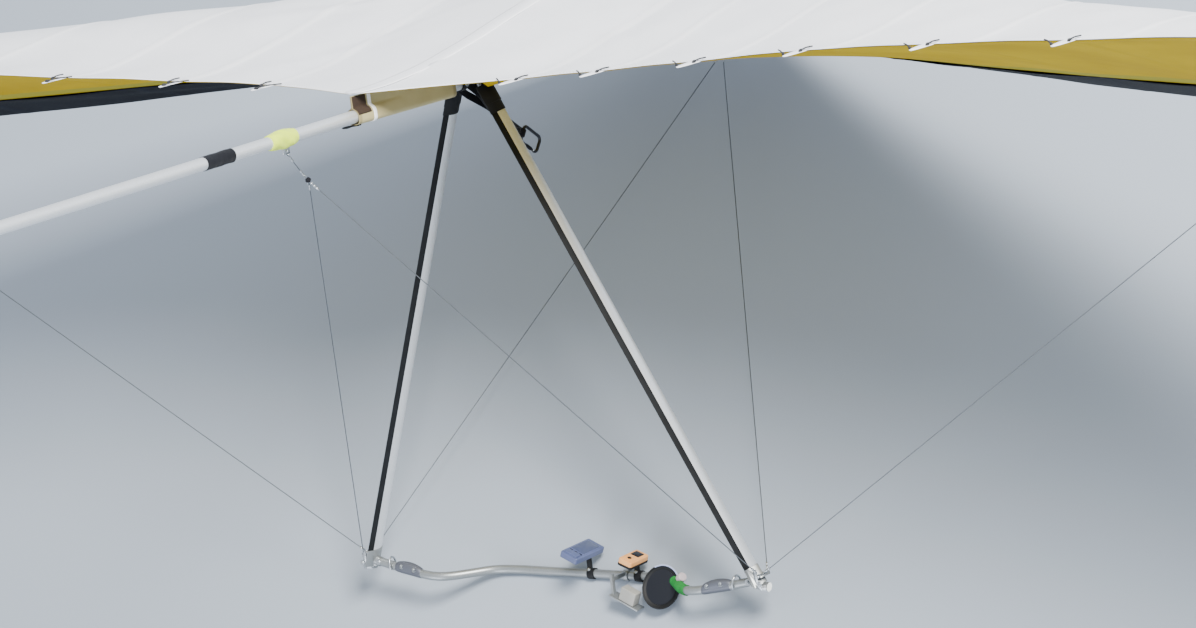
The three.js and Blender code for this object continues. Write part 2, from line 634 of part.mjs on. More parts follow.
function buildHangStrap() {
  const { pivotY, width } = STRAP;
  const saddle = keelSleeve(pivotY - width / 2, pivotY + width / 2, KEEL_RADIUS + 4.7);
  addPiece('strap_saddle', saddle, materials.webbing);
  const hanging = new THREE.Group();
  hanging.position.set(0, pivotY, 0);
  hanging.rotation.x = -PITCH;
  glider.add(hanging);
  addPiece('hang_strap', strapSolid(), materials.webbing, hanging);
  addPiece('carabiner', carabinerSolid(), materials.steel, hanging);
}

// Rigging: straight stays between fittings

function wire(name, start, end, startGap, endGap) {
  const along = new THREE.Vector3().subVectors(end, start).normalize();
  const a = start.clone().addScaledVector(along, startGap);
  const b = end.clone().addScaledVector(along, -endGap);
  addPiece(name, rodBetween(a, b, WIRE_RADIUS, 8), materials.steel);
}

function buildRigging() {
  const noseJunction = point(0, NOSE_JUNCTION.y, NOSE_JUNCTION.z);
  const rearJunction = point(0, REAR_JUNCTION.y, REAR_JUNCTION.z);
  const noseTang = point(0, -1340, -KEEL_RADIUS - NOSE_PLATE_THICKNESS - 28);
  const keelAnchor = point(0, REAR_ANCHOR_Y, -KEEL_RADIUS - 26);
  const ball = (centre, radius) => new THREE.SphereGeometry(radius, 12, 8).translate(...centre);
  addPiece('front_wire_junction', ball(noseJunction, 8), materials.blackAlloy);
  addPiece('rear_wire_junction', ball(rearJunction, 9), materials.blackAlloy);
  wire('nose_leader', noseTang, noseJunction, 2.4, 8.6);
  wire('keel_leader', keelAnchor, rearJunction, 2.4, 9.6);
  for (const [label, side] of [['left', 1], ['right', -1]]) {
    const footZ = STAY_LUG_TOP + WIRE_RADIUS + 0.1;
    const foot = (aft) => point(side * (CORNER.x + 24), CORNER.y + aft, footZ);
    const hold = sideAnchor(side);
    wire(`front_wire_${label}`, foot(-22), noseJunction, 0, 8.6);
    wire(`rear_wire_${label}`, foot(22), rearJunction, 0, 9.6);
    wire(`side_wire_${label}`, foot(0), hold, 0, 15.5);
    addPiece(`side_wire_anchor_${label}`, boxAt(hold.toArray(), [24, 20, 20]), materials.steel);
  }
}

// Middle of the fitting that holds a side wire, close under the leading edge
function sideAnchor(side) {
  const y = leadingEdgeY(SIDE_ANCHOR_SPAN) + 45;
  const chord = trailingEdge(SIDE_ANCHOR_SPAN, 0).y - leadingEdgeY(SIDE_ANCHOR_SPAN);
  const skin = section(SIDE_ANCHOR_SPAN, 45 / chord).low;
  return point(side * SIDE_ANCHOR_SPAN, y, skin - 10 - 1.6);
}

buildSail('sail_left', 1);
buildSail('sail_right', -1);
buildNose();
buildKeel();
buildPocket();
buildApex();
buildSide('left', 1);
buildSide('right', -1);
buildBaseBar();
buildInstruments();
buildRigging();

buildHangStrap();
glider.rotation.x = PITCH;
glider.updateMatrixWorld(true);

const group = new THREE.Group();
group.add(glider);
group.updateMatrixWorld(true);
const bounds = new THREE.Box3().setFromObject(group, true);
glider.position.set(0, -(bounds.min.y + bounds.max.y) / 2, -bounds.min.z);

export default group;
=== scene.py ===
# %% [markdown]
# # A hang glider, dressed
#
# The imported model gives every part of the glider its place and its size. This lesson gives
# each part its look: sailcloth, anodised tube, webbing, cable and moulded plastic.
# It starts with the frame, because nothing in it may move afterwards.

# %% Load the frame
import json
import math

import bmesh
import bpy
import numpy as np
from mathutils import Matrix, Vector


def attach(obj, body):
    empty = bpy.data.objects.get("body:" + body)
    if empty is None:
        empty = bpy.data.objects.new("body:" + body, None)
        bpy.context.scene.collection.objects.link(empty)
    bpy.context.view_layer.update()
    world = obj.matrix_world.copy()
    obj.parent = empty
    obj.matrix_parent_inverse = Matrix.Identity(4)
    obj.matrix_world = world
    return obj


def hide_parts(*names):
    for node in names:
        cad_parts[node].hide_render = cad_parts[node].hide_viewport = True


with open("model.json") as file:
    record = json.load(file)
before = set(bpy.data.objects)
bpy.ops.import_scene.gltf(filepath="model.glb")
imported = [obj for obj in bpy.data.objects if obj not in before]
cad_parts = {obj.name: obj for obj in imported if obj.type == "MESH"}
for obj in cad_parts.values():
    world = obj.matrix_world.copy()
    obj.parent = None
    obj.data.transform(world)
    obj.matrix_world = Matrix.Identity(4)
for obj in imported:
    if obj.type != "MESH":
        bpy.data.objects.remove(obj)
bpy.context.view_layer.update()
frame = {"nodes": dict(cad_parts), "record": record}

# %% [markdown]
# ## The glider's own frame
#
# The glider is parked nose down, so nothing on it is level. It is much easier to build a
# wing along its own axes: X towards the left wing's tip, Y towards the tail, Z square to the
# keel, with the origin on the keel where the downtubes meet it. The record's mount on the
# keel's end tells where those axes went. One matrix then carries every finished piece to its place,
# and each object stays at the origin, unturned.

# %% Where the glider's own frame went
KEEL_END_Y = 2.2263  # metres, from the apex to the face of the keel's end cap
MM = 0.001

keel_end = next(m for m in frame["record"]["mounts"] if m["name"] == "keel_end")
keel_axis = Vector(keel_end["axis"]).normalized()
pitch = math.atan2(keel_axis.z, keel_axis.y)
apex = Vector(keel_end["pos_m"]) - keel_axis * KEEL_END_Y
PARKED = Matrix.Translation(apex) @ Matrix.Rotation(pitch, 4, "X")
print(f"nose down by {math.degrees(pitch):.2f} degrees, apex at {[round(v, 4) for v in apex]}")

# %% [markdown]
# ## The camera
#
# The camera keeps the photograph's view: from behind the glider, on its right and a little
# above its keel, 14 m away with a long lens. Its place is given in the glider's frame, so it
# turns with the glider.

# %% Camera
PHOTO_WIDTH = 1196  # pixels
FOCAL_LENGTH_PIXELS = 4709.78  # fitted to the photograph at that width
SENSOR_MM = 36.0
FARTHEST_SEEN = 200.0
CAMERA_PLACE = Vector((-8.7942, 10.9887, 1.9529))  # metres
CAMERA_AHEAD = Vector((0.59755, -0.77914, -0.18940)).normalized()
CAMERA_UP = Vector((0.01103, -0.22819, 0.97355)).normalized()


def add_object(name, data):
    """Puts an object into the scene, for a mesh, a lamp or a camera."""
    made = bpy.data.objects.new(name, data)
    bpy.context.scene.collection.objects.link(made)
    return made


across = CAMERA_AHEAD.cross(CAMERA_UP).normalized()
upright = across.cross(CAMERA_AHEAD)
turn = Matrix((across, upright, -CAMERA_AHEAD)).transposed().to_4x4()
camera_data = bpy.data.cameras.new("camera")
camera_data.sensor_width = SENSOR_MM
camera_data.lens = FOCAL_LENGTH_PIXELS / PHOTO_WIDTH * SENSOR_MM
camera_data.clip_end = FARTHEST_SEEN
camera = add_object("camera", camera_data)
camera.matrix_world = PARKED @ Matrix.Translation(CAMERA_PLACE) @ turn
bpy.context.scene.camera = camera
print(f"lens {camera_data.lens:.1f} mm, {camera.matrix_world.translation.z:.2f} m above the floor")

# %% [markdown]
# ## Finishes
#
# A finish is named for what the real surface is. A few helpers keep the recipes short.

# %% Helpers for materials
def linear(hex_colour):
    """An sRGB hex colour as linear values, with an alpha of 1."""
    parts = [int(hex_colour[i:i + 2], 16) / 255 for i in (1, 3, 5)]
    return [c / 12.92 if c <= 0.04045 else ((c + 0.055) / 1.055) ** 2.4 for c in parts] + [1.0]


def add_node(tree, kind, settings=None, links=None):
    """Adds a node. Settings are its properties, links its inputs: a value, or another node's output."""
    made = tree.nodes.new(kind)
    for name, value in (settings or {}).items():
        setattr(made, name, value)
    for socket, value in (links or {}).items():
        if isinstance(value, bpy.types.NodeSocket):
            tree.links.new(value, made.inputs[socket])
        else:
            made.inputs[socket].default_value = value
    return made


def start_material(name, **shader):
    """A material with one Principled shader; its sockets are given as words with underscores."""
    material = bpy.data.materials.new(name)
    material.use_nodes = True
    principled = material.node_tree.nodes["Principled BSDF"]
    for socket, value in shader.items():
        principled.inputs[socket.replace("_", " ")].default_value = value
    return material, material.node_tree, principled


def object_scaled(tree, scale=1.0):
    """Object coordinates, multiplied by a scale."""
    place = add_node(tree, "ShaderNodeTexCoord")
    mapping = add_node(tree, "ShaderNodeMapping", {},
                       {"Vector": place.outputs["Object"], "Scale": [scale] * 3})
    return mapping.outputs["Vector"]


def noise(tree, vector, scale, detail=3.0, roughness=0.5):
    made = add_node(tree, "ShaderNodeTexNoise", {}, {"Vector": vector, "Scale": scale, "Detail": detail,
                                                     "Roughness": roughness})
    return made.outputs["Fac"]


def ramp(tree, value, stops):
    """A colour ramp; each stop is a position and an sRGB hex colour."""
    made = add_node(tree, "ShaderNodeValToRGB", {}, {"Fac": value})
    elements = made.color_ramp.elements
    while len(elements) < len(stops):
        elements.new(0.5)
    for element, (position, colour) in zip(elements, stops):
        element.position = position
        element.color = linear(colour)
    return made.outputs["Color"]


def spread_to(tree, value, low, high):
    """A value from 0 to 1, spread to the range from low to high."""
    made = add_node(tree, "ShaderNodeMapRange", {}, {"Value": value, "To Min": low, "To Max": high})
    return made.outputs["Result"]


def add_bump(tree, principled, height, distance, strength):
    bump = add_node(tree, "ShaderNodeBump", {},
                    {"Height": height, "Distance": distance, "Strength": strength})
    tree.links.new(bump.outputs["Normal"], principled.inputs["Normal"])

# %% [markdown]
# ## The floor and the light
#
# A pale, matt floor fills the whole picture, because the camera looks well down on the parked
# glider. One large soft light stands high on the camera's right, as the sun does over the
# real glider. A weaker one behind the tail lights the underside of the wing, and a pale sky
# fills the shadows.

# %% Floor
FLOOR_HALF = 45.0
floor_mesh = bpy.data.meshes.new("floor")
floor_corners = [(x * FLOOR_HALF, y * FLOOR_HALF, 0.0) for x, y in ((-1, -1), (1, -1), (1, 1), (-1, 1))]
floor_mesh.from_pydata(floor_corners, [], [(0, 1, 2, 3)])
floor_paint, tree, shader = start_material("matt_floor_paint", Base_Color=linear("#949DA8"), Roughness=0.9)
floor_mesh.materials.append(floor_paint)
floor = add_object("floor", floor_mesh)


# %% Lights
def soft_light(name, place, aim, size, watts, colour):
    """A square area light, turned to face a point."""
    lamp = bpy.data.lights.new(name, "AREA")
    lamp.shape, lamp.size, lamp.energy, lamp.color = "SQUARE", size, watts, linear(colour)[:3]
    light = add_object(name, lamp)
    light.location = place
    light.rotation_euler = (Vector(aim) - Vector(place)).to_track_quat("-Z", "Y").to_euler()


GLIDER_MIDDLE = (0.0, 0.0, 1.4)
soft_light("sun_side", (-9.5, -3.0, 12.0), GLIDER_MIDDLE, 5.0, 6800, "#FFFCF7")
soft_light("sky_side", (3.0, 14.0, 5.0), GLIDER_MIDDLE, 9.0, 1500, "#F1F5FF")

world = bpy.data.worlds.new("pale_sky")
world.use_nodes = True
sky = world.node_tree.nodes["Background"]
sky.inputs["Color"].default_value = linear("#E6EDF6")
sky.inputs["Strength"].default_value = 1.35
bpy.context.scene.world = world
print("one floor, two soft lights and a pale sky")

# %% [markdown]
# ## Metals
#
# The tubes are drawn aluminium with a clear anodised skin, and the base bar and its brackets
# are a darker grey. Drawing leaves faint streaks, and anodising softens the shine.
# Fittings are stainless steel, and the blocks at the downtubes' tops are anodised black, which
# leaves a satin, slightly blue surface. The carabiner is blackened steel, and the clamps over
# the base bar's joints are cast, which leaves a dull grey skin with a fine grain.

# %% Anodised aluminium
def drawn_aluminium(name, dark, light):
    """Drawn and anodised aluminium: streaks change its shade and its shine a little."""
    material, tree, shader = start_material(name, Metallic=0.72)
    streaks = noise(tree, object_scaled(tree, 6.0), 40.0, 6.0, 0.7)
    tree.links.new(spread_to(tree, streaks, 0.3, 0.48), shader.inputs["Roughness"])
    tree.links.new(ramp(tree, streaks, [(0.3, dark), (0.7, light)]), shader.inputs["Base Color"])
    add_bump(tree, shader, noise(tree, object_scaled(tree), 900.0), 0.0002, 0.35)
    return material


clear_anodised = drawn_aluminium("clear_anodised_aluminium", "#DDE0E3", "#EDEFF1")
# The base bar and its brackets are simply given a darker grey than the tubes.
darker_grey = drawn_aluminium("grey_anodised_aluminium", "#868A8B", "#979B9C")
print("tubes:", clear_anodised.name, darker_grey.name)


# %% Steel, castings and black anodising
def plain_steel(name, colour, shine, dull, metallic=1.0, polish_scale=260.0):
    """Steel of one colour, whose polish wanders between two roughnesses."""
    material, tree, shader = start_material(name, Base_Color=linear(colour), Metallic=metallic)
    polish = noise(tree, object_scaled(tree), polish_scale, 4.0, 0.6)
    tree.links.new(spread_to(tree, polish, shine, dull), shader.inputs["Roughness"])
    return material


stainless = plain_steel("stainless_steel", "#B4B8BB", 0.18, 0.42)
# Thin wires lie close together in a cable and shade each other, so it looks darker than a bolt.
wire_rope = plain_steel("stainless_wire_rope", "#74797E", 0.3, 0.5)
# A black oxide skin hides most of the steel's own colour and dulls it.
dark_steel = plain_steel("blackened_steel", "#3A3C41", 0.3, 0.5, metallic=0.9, polish_scale=300.0)

cast_alloy, tree, shader = start_material(
    "cast_aluminium_grey", Base_Color=linear("#5C5F68"), Metallic=0.6, Roughness=0.5)
add_bump(tree, shader, noise(tree, object_scaled(tree), 500.0), 0.0004, 0.5)

black_anodised, tree, shader = start_material(
    "black_anodised_aluminium", Base_Color=linear("#111216"), Metallic=0.3, Roughness=0.42,
    Specular_IOR_Level=0.3)
grain = noise(tree, object_scaled(tree), 420.0, 4.0, 0.6)
tree.links.new(ramp(tree, grain, [(0.3, "#0C0D10"), (0.72, "#181A1F")]), shader.inputs["Base Color"])
tree.links.new(spread_to(tree, grain, 0.34, 0.52), shader.inputs["Roughness"])
print("fittings:", stainless.name, wire_rope.name, dark_steel.name, cast_alloy.name, black_anodised.name)

# %% [markdown]
# ## Plastics and rubber
#
# The downtubes' fairings, the clamps and the instruments' housings are moulded. A mould gives
# plastic a fine, even grain, so each one gets a small bump and a slight change of shade.

# %% Moulded plastics
def moulded(name, dark, light, roughness, grain_scale=700.0, grain_height=0.0002, gloss=0.5):
    """A moulded plastic with a fine grain; its colour wanders between two shades."""
    material, tree, shader = start_material(name, Roughness=roughness, Specular_IOR_Level=gloss)
    cloudy = noise(tree, object_scaled(tree), 18.0, 3.0)
    tree.links.new(ramp(tree, cloudy, [(0.3, dark), (0.7, light)]), shader.inputs["Base Color"])
    add_bump(tree, shader, noise(tree, object_scaled(tree), grain_scale), grain_height, 0.5)
    return material


# Nylon filled with short glass fibres, for knuckles, fairings and clamps: near black and dull.
black_nylon = moulded("glass_filled_nylon", "#0C0D0F", "#15171A", 0.55, gloss=0.22)
# Housings of ABS, moulded in smooth tools: an even colour and a soft gloss.
blue_grey_abs = moulded("moulded_abs_blue_grey", "#454E70", "#535C82", 0.36)
# A pale blue for the painted highlight on the pod's rim, not a colour of the rim itself.
painted_highlight_abs = moulded("moulded_abs_pale_blue", "#8E97B4", "#A2ABC8", 0.3)
orange_abs = moulded("moulded_abs_orange", "#C98A50", "#DDA263", 0.42)
pale_abs = moulded("moulded_abs_pale", "#83837F", "#94938D", 0.45)
# The sleeve of the grip is soft rubber: a strong green with hardly any shine.
green_rubber = moulded("green_grip_rubber", "#0A5C20", "#117A30", 0.6, 300.0, 0.0006, gloss=0.25)
# The knob's plastic is tinted and has yellowed a little, which leaves a warm grey.
rose_plastic = moulded("moulded_plastic_rose_grey", "#9A8F92", "#ADA2A4", 0.4)

# A clear window over a display that is off looks near black.
dark_glass, *_ = start_material(
    "display_glass", Base_Color=linear("#101219"), Roughness=0.3, Specular_IOR_Level=0.3)
# A liquid crystal display shows its blue-grey ground through the window.
liquid_crystal, *_ = start_material(
    "liquid_crystal_display", Base_Color=linear("#3F4763"), Roughness=0.25, Specular_IOR_Level=0.4)
print("plastics:", black_nylon.name, green_rubber.name, dark_glass.name)

# %% [markdown]
# ## Cloth
#
# Sailcloth is polyester woven tightly from fine thread and pressed smooth, so it shines a
# little. The threads are a third of a millimetre apart, too fine to see here, so the weave is
# drawn at 3 mm. The pattern follows the cloth: every cloth piece carries a UV map in metres,
# and values on its points that say where a pocket or a hem doubles the cloth.

# %% Woven cloths
WEAVE_METRES = 0.003
BELT_WEAVE = (0.0016, 0.0005)  # metres between the coarse threads of webbing, and their height
BANDS_PER_METRE = 2 * math.pi / 20  # a wave texture of scale 1 has one band in this length


def weave_height(tree, spacing):
    """Two crossing sets of threads on the cloth's own UV map."""
    cloth = add_node(tree, "ShaderNodeUVMap", {"uv_map": "cloth"}).outputs["UV"]
    scale = BANDS_PER_METRE / spacing
    threads = [add_node(tree, "ShaderNodeTexWave", {"wave_type": "BANDS", "bands_direction": way},
                        {"Vector": cloth, "Scale": scale}).outputs["Fac"] for way in "XY"]
    both = add_node(tree, "ShaderNodeMath", {"operation": "MAXIMUM"}, {0: threads[0], 1: threads[1]})
    return both.outputs["Value"]


def point_value(tree, name):
    return add_node(tree, "ShaderNodeAttribute", {"attribute_name": name}).outputs["Fac"]


def blend_colours(tree, share, first, second):
    """Mixes two colours, each an output or an sRGB hex colour, by a share.
    Inputs 6 and 7 and output 2 of a Mix node are its colours."""
    mixed = add_node(tree, "ShaderNodeMix", {"data_type": "RGBA"}, {0: share})
    for index, colour in ((6, first), (7, second)):
        if isinstance(colour, str):
            mixed.inputs[index].default_value = linear(colour)
        else:
            tree.links.new(colour, mixed.inputs[index])
    return mixed.outputs[2]


def woven(name, dark, light, roughness, sheen, doubled, spacing=WEAVE_METRES, depth=0.0004, gloss=0.15):
    """A woven cloth: clouded colour, a shade where it is doubled, and its threads as bump."""
    material, tree, shader = start_material(
        name, Roughness=roughness, Sheen_Weight=sheen, Sheen_Roughness=0.4, Specular_IOR_Level=gloss)
    clouds = noise(tree, object_scaled(tree), 2.4, 5.0, 0.6)
    cloth = ramp(tree, clouds, [(0.34, dark), (0.66, light)])
    colour = blend_colours(tree, point_value(tree, "doubled"), cloth, doubled)
    tree.links.new(colour, shader.inputs["Base Color"])
    add_bump(tree, shader, weave_height(tree, spacing), depth, 0.5)
    return material, tree, shader, colour


# Pressed sailcloth is white with a light sheen, and whiter where it lies double.
white_cloth, *_ = woven("woven_polyester_white", "#E8EAEF", "#F2F4F8", 0.5, 0.1, "#F6F7FA", gloss=0.4)
# A film bonded to dyed cloth makes the edge band stiff and almost black.
edge_cloth, *_ = woven("laminated_polyester_navy", "#05070D", "#0A0E18", 0.7, 0.0, "#0C101A")
# Uncoated nylon that has faded in the sun is a dry, uneven tan.
tan_cloth, *_ = woven("woven_nylon_tan", "#A0966C", "#B3A980", 0.8, 0.1, "#8E8460")
# Webbing is woven thick, from coarse yarn, so its threads show as ribs.
webbing_black, *_ = woven("woven_webbing_black", "#0D0E12", "#16181E", 0.8, 0.08, "#1C1E26", *BELT_WEAVE)
dark_webbing, *_ = woven("woven_webbing_brown", "#2C221B", "#3B2F26", 0.85, 0.05, "#463A30", *BELT_WEAVE)
# A fluorescent dye gives back more light than it gets, which a faint glow stands for.
bright_tape, _, shader, _ = woven(
    "fluorescent_cloth_tape", "#C3DC2E", "#D8EC4A", 0.62, 0.3, "#DCEF57", *BELT_WEAVE)
shader.inputs["Emission Color"].default_value = linear("#C8E838")
shader.inputs["Emission Strength"].default_value = 0.12
print("cloths:", white_cloth.name, edge_cloth.name, tan_cloth.name, webbing_black.name, bright_tape.name)

# %% [markdown]
# The mustard cloth of the lower surface has a paler olive stripe beside the dark leading
# edge. Its place is a share of the chord, which the cloth's points carry as a value.

# %% Mustard cloth with its stripe
STRIPE = (0.25, 0.31)  # along the chord
mustard_cloth, tree, shader, plain = woven(
    "woven_polyester_mustard", "#A38700", "#B69900", 0.8, 0.0, "#AC9000")
edges = [add_node(tree, "ShaderNodeMath", {"operation": how}, {0: point_value(tree, "share"), 1: place})
         for how, place in zip(("GREATER_THAN", "LESS_THAN"), STRIPE)]
inside = add_node(tree, "ShaderNodeMath", {"operation": "MULTIPLY"},
                  {0: edges[0].outputs["Value"], 1: edges[1].outputs["Value"]})
tree.links.new(blend_colours(tree, inside.outputs["Value"], plain, "#91882A"), shader.inputs["Base Color"])
print(f"{mustard_cloth.name}, with a stripe from {STRIPE[0]} to {STRIPE[1]} of the chord")

# %% [markdown]
# ## Making pieces
#
# Every piece ends the same way: its mesh is moved to where the glider stands, and the piece
# gets a finish and the body that it rides on. Pieces are drawn in millimetres in the glider's
# own frame, as a drawing of a glider is.

# %% From a drawing to a piece
TO_FLOOR = PARKED @ Matrix.Scale(MM, 4)
MERGE_MM = 1e-4  # points closer than this are one
SIDES = ((1, "left"), (-1, "right"))


def mesh_of(name, points, faces):
    mesh = bpy.data.meshes.new(name)
    mesh.from_pydata([tuple(p) for p in points], [], [tuple(f) for f in faces])
    mesh.polygons.foreach_set("use_smooth", [True] * len(mesh.polygons))
    mesh.update()
    return mesh


def tidy(mesh):
    """Merges doubled points, drops bare ones and turns all faces outwards, on a closed body."""
    shape = bmesh.new()
    shape.from_mesh(mesh)
    bmesh.ops.remove_doubles(shape, verts=shape.verts, dist=MERGE_MM)
    bmesh.ops.delete(shape, geom=[v for v in shape.verts if not v.link_faces], context="VERTS")
    bmesh.ops.recalc_face_normals(shape, faces=shape.faces)
    shape.to_mesh(mesh)
    shape.free()
    return mesh


def new_piece(name, mesh, material, body="root", stands_for=(), place=TO_FLOOR):
    """Moves a mesh to its place and makes it a piece of the glider."""
    mesh.transform(place)
    if material is not None:
        mesh.materials.clear()
        mesh.materials.append(material)
    piece = add_object(name, mesh)
    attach(piece, body)
    if stands_for:
        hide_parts(*stands_for)
    print(f"{name}: {sum(len(p.vertices) - 2 for p in mesh.polygons)} triangles")
    return piece


def finished(mesh, material):
    """The mesh with a finish of its own, for a part that is joined to others."""
    mesh.materials.append(material)
    return mesh


def joined(name, *meshes):
    """One mesh of several, which keep their own materials."""
    whole = bmesh.new()
    materials = []
    for mesh in meshes:
        start = len(whole.faces)
        whole.from_mesh(mesh)
        whole.faces.ensure_lookup_table()
        for material in mesh.materials:
            if material not in materials:
                materials.append(material)
        for face in whole.faces[start:]:
            if mesh.materials:
                face.material_index = materials.index(mesh.materials[face.material_index])
    result = bpy.data.meshes.new(name)
    whole.to_mesh(result)
    whole.free()
    for material in materials:
        result.materials.append(material)
    return result

# %% [markdown]
# ## The wing's rule
#
# A sail could be pulled over battens by simulation, but a real one is cut and battened until
# it takes one exact shape. So the wing follows a rule. At each place along the span there is
# a section: a straight line from the leading edge to the trailing edge, and an upper and a
# lower surface that bulge from it. The trailing edge runs through the battens' ends.

# %% The wing's numbers, in millimetres
LEADING_EDGE = {"front": -1420, "sweep": 0.4909, "dip": -0.0933, "lift": 2.11e-5, "depth": 46}
BATTEN_ENDS = np.array([  # span, y, z
    (0, 560, 68), (470, 368, 68), (797, 412, 93), (1197, 494, 128), (1645, 622, 173), (2143, 764, 205),
    (2661, 912, 231), (3190, 1063, 254), (3730, 1215, 265), (4280, 1365, 266), (4800, 1495, 256)], float)
TIP_SPAN = 5050
TIP_RAKE = (4500, 4e-4)  # the leading edge curves back from this span, by a square law
TIP_CUT = (4800, 4e-3)  # and the trailing edge curves forward, the same way
SCALLOP = 14  # how far the trailing edge curves in between two battens
CREST = 0.25  # where along the chord the upper surface is highest
SHEET, SHEET_FROM = 4, 0.02  # the least depth of the wing, and from what share of the chord
CAMBER = (0.11, 0.16, 1400)  # at the keel, further out, and the span from which it holds
SURFACE_END = (0.74, 0.9, 700)  # where along the chord the lower surface ends, the same way
CLOSING = 0.06  # over this share of the chord the lower surface meets the upper
EDGE_ROUND = 0.06  # over this share the underside rounds off to the leading edge
KEEL_DROP = {"width": 230, "z": -27, "from": 0.03}  # beside the keel the underside hangs lower
CENTRE_GAP = 0.4  # from the middle to the first points of each half


def batten_line(span, column):
    """A batten tip's place at any span, straight between tips and carried on past the last."""
    tips = BATTEN_ENDS
    inside = np.interp(span, tips[:, 0], tips[:, column])
    slope = (tips[-1, column] - tips[-2, column]) / (tips[-1, 0] - tips[-2, 0])
    return inside + np.maximum(0, span - tips[-1, 0]) * slope


def between_battens(span):
    """0 on a batten and 1 midway between two."""
    place = np.interp(span, BATTEN_ENDS[:, 0], np.arange(len(BATTEN_ENDS)))
    bow = np.sin(math.pi * (place % 1)) ** 2
    return np.where(span > BATTEN_ENDS[-1, 0], 0.0, bow)


def from_keel(values, span):
    """A value that changes smoothly from the keel outwards, and then holds."""
    at_keel, outboard, reached_at = values
    out = np.minimum(1, span / reached_at)
    return at_keel + (outboard - at_keel) * out * out * (3 - 2 * out)


def leading_edge(span):
    """Y and Z of the leading edge."""
    rake = np.maximum(0, span - TIP_RAKE[0]) ** 2 * TIP_RAKE[1]
    return (LEADING_EDGE["front"] + LEADING_EDGE["sweep"] * span + rake,
            LEADING_EDGE["dip"] * span + LEADING_EDGE["lift"] * span ** 2)


def wing_section(span, share):
    """Y, the upper and the lower height at a span and a share of the chord."""
    lead_y, lead_z = leading_edge(span)
    scallop = SCALLOP * between_battens(span) * np.where(span < BATTEN_ENDS[1, 0], 0.5, 1.0)
    cut = np.maximum(0, span - TIP_CUT[0]) ** 2 * TIP_CUT[1]
    trail_y = batten_line(span, 1) - scallop - cut
    chord = trail_y - lead_y
    line = lead_z + (batten_line(span, 2) - lead_z) * share
    front = np.clip(1 - ((CREST - share) / CREST) ** 2, 0, 1) ** 0.75
    back = np.cos((share - CREST) / (1 - CREST) * math.pi / 2) ** 2
    top = line + from_keel(CAMBER, span) * chord * np.where(share < CREST, front, back)
    end = from_keel(SURFACE_END, span)
    roundness = np.sqrt(1 - (1 - np.minimum(1, share / EDGE_ROUND)) ** 2)
    belly = line - LEADING_EDGE["depth"] * (1 - np.minimum(1, share / end)) ** 2.4 * roundness
    near_keel = np.exp(-((span / KEEL_DROP["width"]) ** 2)) * np.minimum(1, share / KEEL_DROP["from"])
    under = belly + (np.minimum(belly, KEEL_DROP["z"]) - belly) * near_keel
    closing = np.clip((share - end) / CLOSING, 0, 1)
    deep_enough = top - SHEET * np.minimum(1, share / SHEET_FROM)
    low = np.minimum(under + (top - SHEET - under) * closing, deep_enough)
    return lead_y + chord * share, top, low


def share_at(span, y):
    """The share of the chord at a place, with the trailing edge drawn straight between battens."""
    lead_y, _ = leading_edge(span)
    return (y - lead_y) / (batten_line(span, 1) - lead_y)


_, root_top, root_low = wing_section(0.0, 0.5)
print(f"half-way along the root the sail is {root_top - root_low:.0f} mm deep")

# %% [markdown]
# ## The sail's cloth
#
# Each cloth is a grid of points over the wing, with a line of points on either side of every
# batten, so that the battens show as ridges. Between them the cloth billows a few
# millimetres, and faint diagonal creases run where the load goes. The grid then gets the
# cloth's thickness: a second layer of points below the first, and a rim round the edges.

# %% Grid lines of the sail
BATTEN_SPANS = BATTEN_ENDS[1:, 0]
POCKET_HALF = 17  # half the width of a batten's pocket
RIDGE_HALF, RIDGE_HEIGHT = 22, 2.4  # the ridge that the batten raises in the cloth
BILLOW = 7.0  # how far the cloth bows out midway between two battens
CLOTH_THICKNESS = 1.2  # thicker than sailcloth, so that no layer is lost in a render
SPAN_STEP = 30


def span_lines(first, last):
    """Spans for the grid: even steps, and finer ones across each batten."""
    even = np.arange(first, last, SPAN_STEP)
    far = [s for s in even if np.abs(BATTEN_SPANS - s).min() > RIDGE_HALF + 4]
    beside = (-RIDGE_HALF, -POCKET_HALF, -11, 0, 11, POCKET_HALF, RIDGE_HALF)
    fine = [b + d for b in BATTEN_SPANS for d in beside if first < b + d < last]
    return np.array(sorted(set([first, last, *far, *fine])))


def share_lines(first, last, count, extra=()):
    """Shares of the chord, closer together towards the leading edge."""
    even = first + (last - first) * np.linspace(0, 1, count) ** 1.25
    return np.array(sorted(set(np.round([*even, *extra], 6))))


# %% Creases and billow
CREASES = [  # side, span and y of both ends, height, width: all in mm
    (1, 150, -980, 900, -420, 6, 46), (1, 260, -760, 1050, -180, 5, 40), (1, 420, -1050, 1350, -500, 5, 50),
    (1, 900, -760, 1900, -250, 6, 48), (1, 1300, -620, 2300, 60, 5, 44), (1, 2100, -180, 3000, 500, 5, 46),
    (1, 3000, 220, 3900, 820, 5, 46), (1, 200, -500, 640, 180, 4, 36),
    (-1, 160, -1000, 820, -360, 5, 44), (-1, 340, -800, 1150, -140, 5, 40),
    (-1, 700, -820, 1700, -300, 5, 50), (-1, 1500, -420, 2400, 180, 5, 44),
    (-1, 2300, -80, 3200, 560, 5, 46), (-1, 3300, 380, 4200, 940, 5, 46), (-1, 240, -460, 700, 220, 4, 36),
]
RIPPLES = [  # waves per metre along span and y, phase, height in mm
    (0.9, 1.7, 0.4, 1.3), (2.3, -1.1, 2.1, 0.9), (1.6, 2.9, 4.4, 0.6), (4.1, 1.3, 1.2, 0.45),
]


